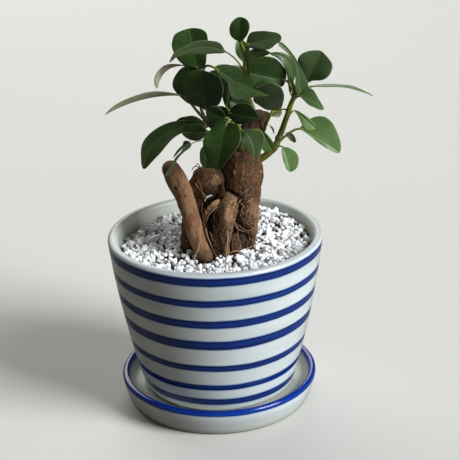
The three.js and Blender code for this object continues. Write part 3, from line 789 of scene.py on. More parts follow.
# The skin moved along its normals: broad lumps, cracks that run along each limb (noise that
# changes fast round the limb and slowly along it), and wrinkles that run round it (the reverse);
# then pits and grooves are pressed in, each as exp(-(gap / reach)^2)
def barkSurface():
    b = barkForm
    points, normals, quads = fusedLimbs()
    along, offset, tone, ring, smooth, crease = limbPlaces(points)
    grain = smoothNoise(points, 1.0, 6)
    lumps = smoothNoise(points, 7, 1) + 0.5 * smoothNoise(points, 3.4, 2)
    drift = np.array([0.6, 0.5, 0.62]) * along[:, None]
    lengthwise = offset / 1.3 + drift / 5 + 0.3 * grain[:, None]
    cracks = smoothNoise(lengthwise, 1, 3) + 0.8 * smoothNoise(lengthwise * 2.1, 1, 4)
    wrinkles = smoothNoise(offset / 5 + drift / 0.75, 1, 5)
    plain = 1 - 0.75 * smooth
    height = b["lumps"] * lumps * (0.55 + 0.45 * plain) + b["fissures"] * cracks * plain
    height += b["wrinkles"] * wrinkles * ring + b["grain"] * grain * plain
    height -= b["crease"] * crease * (0.3 + 0.7 * plain) - 0.05
    pits = np.zeros(len(points))
    for *middle, reach in b["pits"]:
        pits = np.maximum(pits, np.exp(-np.sum((points - middle) ** 2, axis=1) / reach ** 2))
    height -= b["pitDepth"] * pits
    for path, depth, reach in b["grooves"]:
        gap = np.linalg.norm((points[:, None] - smoothPath(path, 30)) * [1, 0.25, 1], axis=2).min(axis=1)
        cut = np.exp(-(gap / reach) ** 2) * (points[:, 1] < -2)
        height -= depth * cut
        # the groove also takes the painted shade of a crease
        crease = np.maximum(crease, 0.9 * cut)
    marks = {"tone": tone + 0.1 * lumps, "wrinkle": 0.5 + 0.5 * wrinkles * ring, "crease": crease,
             "crack": 0.5 - 0.5 * cracks, "smoothBark": smooth, "along": along, "pit": pits,
             "turnX": offset[:, 0], "turnY": offset[:, 1], "mat": matShare(points) * (1 - smooth)}
    return {"points": points + normals * height[:, None], "quads": quads, "tris": np.zeros((0, 3), int),
            "marks": marks}


# Brown bark: fibres that run along each limb, painted shade in creases, dark in cracks, reddish and
# pale flecks, lighter where the tone is high and painted shade where it is low, dark red where a mat of
# fibres lies over it (its own colour and painted shade under it); the long smooth root has plain bark
# with rusty patches, darker at its top, painted light on its lower end, painted shade on its sole, and
# small dark pits
def barkMaterial():
    b = barkForm
    material, tree, shader = newMaterial("bark", 0.85, specular=0.3)
    place = placeOn(tree)
    tone, run, plain, wrinkle = (markOf(tree, name) for name in ("tone", "along", "smoothBark", "wrinkle"))
    rough = minus(tree, 1.0, plain)
    lengthwise = addNode(tree, "CombineXYZ", {0: markOf(tree, "turnX"), 1: markOf(tree, "turnY"),
                                              2: times(tree, run, 0.11)})[0]
    fibre = noiseOn(tree, lengthwise, 1.5, 4, 0.65)
    colour = mixColours(tree, softStep(tree, tone, 0.5, 0.95),
                        useGroup(tree, mottle, Vector=place, **b["mottled"])["Color"],
                        useGroup(tree, mottle, Vector=place, **b["mottledLight"])["Color"])
    colour = layered(
        tree, colour,
        (softStep(tree, fibre, 0.5, 0.36), rough, 0.32, b["dark"]),
        (softStep(tree, fibre, 0.56, 0.7), rough, 0.22, b["pale"]),
        (patches(tree, place, 330, 0.58, 0.68, 2), 0.55, b["reddish"]),
        (patches(tree, placeOn(tree, (1, 1, 1.7)), 360, 0.66, 0.73, 1), 0.45, b["pale"]),
        (softStep(tree, wrinkle, 0.42, 0.2), 0.4, b["dark"]),
        (softStep(tree, markOf(tree, "crack"), 0.6, 1.0), rough, 0.5, b["dark"]),
        # dark red over the mats of fibres: their own colour and painted shade under them
        (markOf(tree, "mat"), patches(tree, placeOn(tree, (1, 1, 0.6)), 520, 0.3, 0.6, 3, 0.7), 0.7,
         (84, 53, 38)),
        # the long smooth root: its own brown, rust, specks and a pink blush, then its darker top, painted
        # light on its lower end and painted shade on its sole
        (plain, 0.6, (128, 97, 66)),
        (patches(tree, placeOn(tree, (1, 1, 0.45)), 190, 0.47, 0.57, 5, 0.66), plain, 0.72, (96, 58, 40)),
        (patches(tree, place, 900, 0.66, 0.72, 2), plain, 0.6, (64, 34, 26)),
        (patches(tree, place, 260, 0.6, 0.7, 2), plain, 0.6, (138, 84, 72)),
        (softStep(tree, run, 9, 0), plain, 0.6, (84, 58, 42)),
        (softStep(tree, run, 28, 44), plain, 0.3, (132, 102, 66)),
        (softStep(tree, run, 46, 50.5), plain, 0.55, (62, 42, 30)),
        # pits, painted shade in the creases and on the back of the hollows, and the cut top
        (softStep(tree, markOf(tree, "pit"), 0.15, 0.7), (46, 24, 20)),
        (softStep(tree, markOf(tree, "crease"), 0.3, 0.9), 0.75, (24, 15, 10)),
        (softStep(tree, tone, 0.34, 0.1), 0.55, (38, 23, 17)),
        (softStep(tree, heightAt(tree, place), 149, 157), 0.8, (72, 44, 38)))
    fine = noiseOn(tree, placeOn(tree, (1, 1, 0.5)), 1300, 4, 0.7)
    relief = plus(tree, plus(tree, fine, times(tree, fibre, 1.2)), times(tree, wrinkle, 0.35))
    finish(tree, shader, colour, relief, 0.75, 0.0006)
    return material


trunkShape = barkSurface()
makePiece("rootTrunk", trunkShape, barkMaterial(), ["trunk"])


# Fine roots: how many cling to each limb, and the loose ones, each with its path, radii and tone
clingingRoots = {"heart": 60, "heartLeft": 70, "heartRight": 110, "lump": 90, "lowLump": 30, "middleRoot": 26,
                 "rightRoot": 26, "shoulderLeg": 26, "shoulder": 3, "column": 30, "flapRoot": 8}
strayRoots = [
    ([(6.8, -17, 107.5), (6.6, -19, 102.4), (6.2, -23, 99.4), (5.5, -28.5, 97.1),
      (5.1, -34, 94.8), (4.5, -40, 92.8)],
     [0.39, 0.39, 0.36, 0.32, 0.32, 0.25], 0.75),
    ([(-8.4, -17.5, 108.8), (-8.4, -19, 103.5), (-9, -20.8, 99.6), (-10.6, -23.4, 96.6),
      (-12.4, -26.5, 93.3)],
     [0.25, 0.29, 0.29, 0.25, 0.18], 0.8),
    ([(-5.1, -12.5, 107.2), (-4.2, -13.5, 102.8), (-2.7, -14.5, 98.5), (-1.2, -15.5, 94.7),
      (0.4, -17, 91.7)],
     [0.29, 0.33, 0.33, 0.29, 0.18], 0.95),
    ([(-2.8, -13, 105), (-1.5, -14.5, 101.4), (0.3, -15.5, 97.9), (1.3, -16, 94.8)],
     [0.25, 0.29, 0.22, 0.18], 0.7),
    ([(10.3, -11, 110.2), (11.4, -12.5, 107.4), (13.4, -13, 105.6), (16.9, -12.4, 104.1)],
     [0.18, 0.23, 0.22, 0.16], 0.7),
    ([(13.2, -11.5, 108.3), (14.4, -12.5, 106.6), (17.2, -12.5, 105.1), (20, -11.5, 104.2)],
     [0.16, 0.22, 0.18, 0.15], 0.6),
    ([(11.1, -11, 109.6), (12.6, -12.6, 106.7), (12.3, -13, 102.7), (13.3, -13, 99.1)],
     [0.22, 0.25, 0.22, 0.18], 0.7),
    ([(6.7, -16, 92.8), (10, -16, 94.3), (14.5, -15, 94.2), (20.1, -11.5, 94.9)],
     [0.33, 0.36, 0.36, 0.25], 0.9),
    ([(8.9, -17, 91.4), (12.5, -16.5, 93.4), (16.7, -14, 93.4)],
     [0.25, 0.29, 0.22], 0.8),
    ([(1.7, -12.4, 119.5), (-1, -13, 117.5), (-3.2, -12.6, 114.8), (-4.4, -11.5, 110.9)],
     [0.32, 0.36, 0.32, 0.22], 0.9),
    ([(4, -13.4, 120.8), (1.2, -13.5, 118.2), (-0.6, -12.8, 114.5), (-0.4, -11.8, 110.3)],
     [0.29, 0.32, 0.29, 0.22], 0.4),
    ([(-10.1, -8.4, 132.1), (-8, -8.4, 128.9), (-5.9, -7, 125.3), (-3.9, -6, 122)],
     [0.21, 0.29, 0.29, 0.18], 0.7),
    ([(-8.4, -8.8, 133.9), (-6.9, -9, 129.9), (-6.3, -8, 125.7), (-5.3, -6.6, 121.4)],
     [0.18, 0.25, 0.22, 0.18], 0.55),
    ([(-6.3, -2, 137.4), (-8, -2, 138.7), (-9.5, -2, 139.5), (-11.1, -2, 138.2),
      (-11.7, -2, 136.9)],
     [0.32, 0.29, 0.29, 0.25, 0.14], 0),
    ([(-7.5, -2, 138), (-7.6, -2, 139.9), (-8.6, -2, 140.9), (-9.2, -2, 139.9)],
     [0.29, 0.25, 0.22, 0.14], 0),
    ([(-8.5, -3, 135.9), (-9, -2.4, 137.2), (-8.3, -2, 138), (-6.8, -2, 138.1)],
     [0.32, 0.29, 0.22, 0.18], 0.05),
    ([(25.3, -1, 137), (26.8, -1, 135.4), (27.1, -1, 133.4)],
     [0.29, 0.25, 0.14], 0.1),
    ([(24.7, -2, 132.7), (26.5, -2, 134), (27.3, -2, 135.5)],
     [0.25, 0.22, 0.11], 0.15),
    ([(15.2, -10, 122.6), (12.9, -11, 120.1), (11.8, -12, 117), (12, -12, 112.9)],
     [0.29, 0.32, 0.32, 0.22], 0.5),
    ([(1.8, -17, 94.6), (3.9, -18, 93.2), (7.2, -19, 92.9), (9.9, -19, 90.7)],
     [0.22, 0.25, 0.22, 0.14], 0.6),
    ([(-17.1, -7, 103), (-17.6, -7, 98.2), (-16.4, -8, 93.8), (-14.5, -9, 89.9)],
     [0.33, 0.36, 0.33, 0.22], 0.3),
    ([(-6.4, -9, 120.6), (-7, -10, 115.7), (-6.1, -11, 110.8), (-5.8, -11, 105.4)],
     [0.32, 0.36, 0.32, 0.22], 0.45),
]

fineRootForm = {
    "length": (4, 14),        # of a clinging root, mm
    "lift": (-0.3, 0.75),     # of a clinging root off its limb
    "girth": (0.1, 0.32),
    "matGirth": (0.1, 0.24),
    "matStep": (0.5, 1.1),    # between two points of a fibre in a mat
    "matLift": 0.45,
    "cell": 0.6,              # size of the cells in which the front of the skin is looked up
    "dark": ((44, 27, 20), (84, 54, 38)),
    "pale": ((134, 104, 76), (170, 140, 110)),
}


# A clinging root wanders down a limb: path + (radius + lift) * (cos(turn) * side + sin(turn) * other)
def clingingRoot(limb, path, radii, rng):
    f = fineRootForm
    _, side, other = pathFrames(path)
    run = runAlong(path)
    length = rng.uniform(*f["length"])
    start = rng.uniform(0, max(run[-1] - length, 1))
    share = np.linspace(start, min(start + length, run[-1]), 13)
    at = sideBySide(*(np.interp(share, run, axis) for axis in path.T))
    reach = np.interp(share, run, radii)
    i = np.minimum(np.searchsorted(run, share), len(path) - 1)
    turn = rng.uniform(0, 6.28) + smoothPath(rng.normal(0, 0.16, 5), 13)
    lift = smoothPath(rng.uniform(*f["lift"], 5), 13)
    away = np.cos(turn)[:, None] * side[i] + np.sin(turn)[:, None] * other[i]
    girth = rng.uniform(*f["girth"]) * np.linspace(1, 0.45, 13)
    # the limb's tone, painted shade where it is low, carries over to its roots
    tone = limb["tone"] * 0.6 + rng.uniform(0, 0.55)
    return tube(at + (reach + lift)[:, None] * away, girth, 5, {"tone": tone})


# Fibres of a mat, laid on the skin where the line of sight meets it: front holds the nearest
# depth in each cell of the plane across the sight, counted from its lowest corner, and a fibre
# that meets no skin or jumps too far in depth is left out
def matFibres(mat, front, low, rng):
    f = fineRootForm
    middle, half = smoothPath(mat["path"], 60) @ sightPlane, smoothPath(mat["half"], 60)
    fibres = []
    for _ in range(mat["count"]):
        i = rng.integers(60)
        start = middle[i] + half[i] * rng.uniform(-1, 1, 2) * [0.9, 0.4]
        heading = rng.uniform(0, 6.28) + np.cumsum(rng.normal(0, 0.7, 8))
        steps = rng.uniform(*f["matStep"]) * sideBySide(np.cos(heading), np.sin(heading) * 1.2)
        way = start + np.cumsum(steps, axis=0)
        place = np.clip(np.floor((way - low) / f["cell"]).astype(int), 0, np.array(front.shape) - 1)
        deep = front[place[:, 0], place[:, 1]]
        if not np.isfinite(deep).all() or np.abs(np.diff(deep)).max() > 2.2:
            continue
        deep = deep - 0.05 - rng.uniform(0, f["matLift"]) * np.sin(np.linspace(0.2, 3, 8))
        path = smoothPath(way @ sightPlane.T + deep[:, None] * sight, 17)
        girth = rng.uniform(*f["matGirth"]) * np.linspace(1, 0.5, 17)
        fibres.append(tube(path, girth, 5, {"tone": rng.uniform(*mat["tones"])}))
    return fibres


# All fine roots over the given skin of the trunk; the mats leave its smooth root free
def fineRootSurface(skin, smooth):
    rng = np.random.default_rng(11)
    parts = []
    for name, count in clingingRoots.items():
        line = lineOf(limbs[name], 100)
        parts += [clingingRoot(limbs[name], *line, rng) for _ in range(count)]
    flat, depth = skin @ sightPlane, skin @ sight
    low = flat.min(axis=0)
    column, row = np.floor((flat - low) / fineRootForm["cell"]).astype(int).T
    front = np.full((column.max() + 1, row.max() + 1), np.inf)
    smoothFront = front.copy()
    np.minimum.at(front, (column, row), depth)
    np.minimum.at(smoothFront, (column, row), np.where(smooth > 0, depth, np.inf))
    front[smoothFront <= front] = np.inf
    for mat in fibreMats:
        parts += matFibres(mat, front, low, rng)
    for path, radii, tone in strayRoots:
        parts.append(tube(smoothPath(path, 26), smoothPath(radii, 26), 6, {"tone": tone}))
    return together(parts)


# Dark fibres or pale ones, by their tone, with a fine grain
def fineRootMaterial():
    material, tree, shader = newMaterial("fineRoots", 0.75)
    grain = noiseOn(tree, placeOn(tree), 700, 3)
    dark, pale = (mixColours(tree, grain, *fineRootForm[shade]) for shade in ("dark", "pale"))
    finish(tree, shader, mixColours(tree, softStep(tree, markOf(tree, "tone"), 0.3, 1.0), dark, pale))
    return material


fineRoots = fineRootSurface(trunkShape["points"], trunkShape["marks"]["smoothBark"])
makePiece("fineRoots", fineRoots, fineRootMaterial())


# Soil and gravel

gravelForm = {
    "middle": 91.2,
    "right": 2.0,                    # rise towards the right, mm over a rim radius
    "back": 1.4,                     # the same towards the back
    "mound": (28, 32, 16, 2.4),      # x, y, reach and height of the heap at the back right
    "pitch": 3.7,                    # between stones
    "size": (1.5, 2.9),              # radius of a stone
    "second": 0.5,                   # share of the places that carry another stone on top
    "squash": (0.62, 1.0),
    "bed": 1.3,                      # depth of the bed under the stones' middle
    "bottom": 83.5,
    # x, y and reach of the spots where soil shows
    "bareSpots": [(-20.9, -13.3, 4.0), (50.3, 5.6, 4.4), (-8.6, -23.0, 4.6), (-12.6, -15.0, 3.6), (1, -13, 3),
                  (-15, -4, 4), (-7.4, -25.4, 3.2), (-2.2, -25.6, 2.6), (-2.9, -18.4, 4.2)],
}


# Height of the stones' middle: a sloping plane, a round heap and slow noise
def gravelLevel(x, y):
    g = gravelForm
    mx, my, reach, rise = g["mound"]
    heap = rise * np.exp(-((x - mx) ** 2 + (y - my) ** 2) / reach ** 2)
    slow = 0.5 * smoothNoise(sideBySide(x, y, 0 * x), 13, 21)
    return g["middle"] + (g["right"] * x + g["back"] * y) / potForm["rim"] + heap + slow


# How far inside the nearest root a spot at gravel height is; above 0 means in the wood
def insideRoots(x, y, z):
    deep = np.full(len(x), -1e3)
    for limb in limbs.values():
        path, radii = lineOf(limb, 60)
        deep = np.maximum(deep, (radii - gapsTo(sideBySide(x, y, z), path)).max(axis=1))
    return deep


# 1 in the middle of a bare spot, falling as exp(-(gap / reach)^2)
def bareness(x, y):
    bare = np.zeros(len(x))
    for bx, by, reach in gravelForm["bareSpots"]:
        bare = np.maximum(bare, np.exp(-((x - bx) ** 2 + (y - by) ** 2) / reach ** 2))
    return bare


# The bed under the stones: a disc of rings that follows their level, deeper in the bare spots,
# with crumbs of noise
def gravelBedSurface():
    g = gravelForm
    rings, segments = 60, 160
    edge = potRadiusAt(g["middle"] - potForm["foot"]) - potForm["wall"] - 0.6
    r = np.linspace(0.3, edge, rings)[:, None]
    turn = fullTurn(segments)
    x, y = (r * np.cos(turn)).ravel(), (r * np.sin(turn)).ravel()
    flat = sideBySide(x, y, 0 * x)
    bare = bareness(x, y)
    z = gravelLevel(x, y) - g["bed"] - 1.8 * bare
    z = z + 0.7 * smoothNoise(flat, 1.6, 31) + 0.4 * smoothNoise(flat, 3.1, 32)
    upper = sideBySide(x, y, z).reshape(rings, segments, 3)
    lower = upper[::-1].copy()
    lower[:, :, 2] = g["bottom"]
    paleFrontRight = np.clip((x - 8) / 14, 0, 1) * np.clip((-y - 6) / 12, 0, 1)  # paler at the front right
    marks = {key: np.append(value, 0 * value).reshape(2 * rings, segments)
             for key, value in (("soil", bare), ("paleFrontRight", paleFrontRight))}
    return ringSurface(np.vstack([upper, lower]), upper[0].mean(axis=0), lower[-1].mean(axis=0), marks)


# Stones: a twenty-sided ball whose corners are pushed in and out by chance, squashed, turned
# any way and laid on a jittered grid in two layers; none lies in a root, the wall or a bare spot
def stoneSurface():
    g = gravelForm
    rng = np.random.default_rng(5)
    golden = (1 + 5 ** 0.5) / 2
    pairs = [(a, b * golden) for a in (-1, 1) for b in (-1, 1)]
    ball = unit(np.array([(a, b, 0) for a, b in pairs] + [(0, a, b) for a, b in pairs]
                         + [(b, 0, a) for a, b in pairs]))
    near = gapsTo(ball, ball) < 1.1  # corners that share an edge
    faces = [(i, j, k) if np.linalg.det(ball[[i, j, k]]) > 0 else (i, k, j)
             for i, j, k in combinations(range(12), 3) if near[i, j] and near[j, k] and near[i, k]]
    steps = np.arange(-24, 25)
    column, row = np.meshgrid(steps, steps)
    x = ((column + 0.5 * (row % 2)) * g["pitch"]).ravel()
    y = (row * g["pitch"] * 0.866).ravel()
    again = rng.random(len(x)) < g["second"]
    layer = np.append(np.zeros(len(x)), np.ones(again.sum()))
    x, y = np.append(x, x[again] + g["pitch"] * 0.5), np.append(y, y[again] + g["pitch"] * 0.3)
    x, y = x + rng.normal(0, 0.5, len(x)), y + rng.normal(0, 0.5, len(x))
    size = rng.uniform(*g["size"], len(x)) * np.where(layer > 0, 0.95, 1)
    z = gravelLevel(x, y) + layer * 1.25 + rng.uniform(-0.5, 0.5, len(x))
    limit = potRadiusAt(z - potForm["foot"]) - potForm["wall"] - 0.8 * size - 0.3
    keep = (np.hypot(x, y) < limit) & (insideRoots(x, y, z) < -0.1 * size)
    keep &= bareness(x, y) < rng.uniform(0.35, 0.75, len(x))
    centres, size = sideBySide(x, y, z)[keep], size[keep]
    count = len(size)
    shape = ball[None] * rng.uniform(0.5, 1.22, (count, 12, 1))
    shape = shape * rng.uniform(*g["squash"], (count, 1, 3))
    turnA, turnB = unit(rng.normal(size=(count, 3))), unit(rng.normal(size=(count, 3)))
    turnB = unit(np.cross(turnA, turnB))
    axes = np.stack([turnA, turnB, np.cross(turnA, turnB)], 1)
    points = np.einsum("nij,njk->nik", shape * size[:, None, None], axes) + centres[:, None]
    tris = np.array(faces)[None] + 12 * np.arange(count)[:, None, None]
    tone = np.repeat(rng.random(count), 12)
    return {"points": points.reshape(-1, 3), "quads": np.zeros((0, 4), int), "tris": tris.reshape(-1, 3),
            "marks": {"tone": tone}}


# White stone with soft grey clouds; the few stones of a high tone are grey
def stoneMaterial():
    material, tree, shader = newMaterial("whiteStone", 0.6)
    place = placeOn(tree)
    cloud = noiseOn(tree, place, 480)
    white = mixColours(tree, softStep(tree, cloud, 0.4, 0.7), (236, 237, 239), (210, 212, 216))
    grey = mixColours(tree, cloud, (160, 158, 156), (190, 188, 186))
    colour = mixColours(tree, softStep(tree, markOf(tree, "tone"), 0.86, 0.95), white, grey)
    finish(tree, shader, colour, noiseOn(tree, place, 2200), 0.45, 0.0003)
    return material


# Grey grit, paler at the front right, and dark soil in the bare spots
def bedMaterial():
    material, tree, shader = newMaterial("gravelBed", 0.9)
    grit = noiseOn(tree, placeOn(tree), 650)
    dust = mixColours(tree, grit, (44, 42, 40), (92, 88, 84))
    soil = mixColours(tree, grit, (34, 24, 18), (66, 50, 38))
    colour = layered(tree, dust, (markOf(tree, "paleFrontRight"), (196, 196, 200)),
                     (softStep(tree, markOf(tree, "soil"), 0.15, 0.5), soil))
    finish(tree, shader, colour, grit, 0.6, 0.0006)
    return material


# Dark soil with light brown flecks
def soilMaterial():
    material, tree, shader = newMaterial("pottingSoil", 0.95)
    got = useGroup(tree, mottle, Vector=placeOn(tree), Scale=300.0, Base=(48, 36, 27), Patch=(30, 22, 17),
                   Fleck=(96, 76, 56), Amount=0.8)
    finish(tree, shader, got["Color"], got["Fine"], 0.8, 0.001)
    return material


makePiece("whiteStones", stoneSurface(), stoneMaterial(), ["white_gravel"], smooth=False)
makePiece("gravelBed", gravelBedSurface(), bedMaterial(), ["white_gravel"])
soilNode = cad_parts["soil"]
soilNode.data.materials.clear()
soilNode.data.materials.append(soilMaterial())


# Leaves and stems

leafForm = {
    "rows": 30,
    "across": 14,         # points from one margin to the other, on each face
    "thickness": 0.55,    # mm
    "fold": 12,           # degrees that each half rises from the midrib
    "peak": 0.54,         # share of the length where the blade is widest
    "power": 0.8,         # smaller is rounder
    "veins": 9,
    "dark": (26, 47, 15),
    "green": (50, 78, 26),
    "young": ((112, 150, 82), (100, 134, 70)),
    "paintedSheen": (104, 124, 86),  # painted sheen: the grey green of a blade that reflects the light
    "rib": (108, 134, 74),
    "margin": (128, 150, 100),
    "under": ((92, 108, 68), (110, 122, 84)),
    "underRib": (140, 150, 110),
    "underYoung": (132, 150, 92),
    # painted shade on the underside of a leaf whose tone is below 0
    "underShade": (66, 84, 34),
    "tan": (222, 214, 184),
    "glow": 0.14,         # share of the light that passes through
}

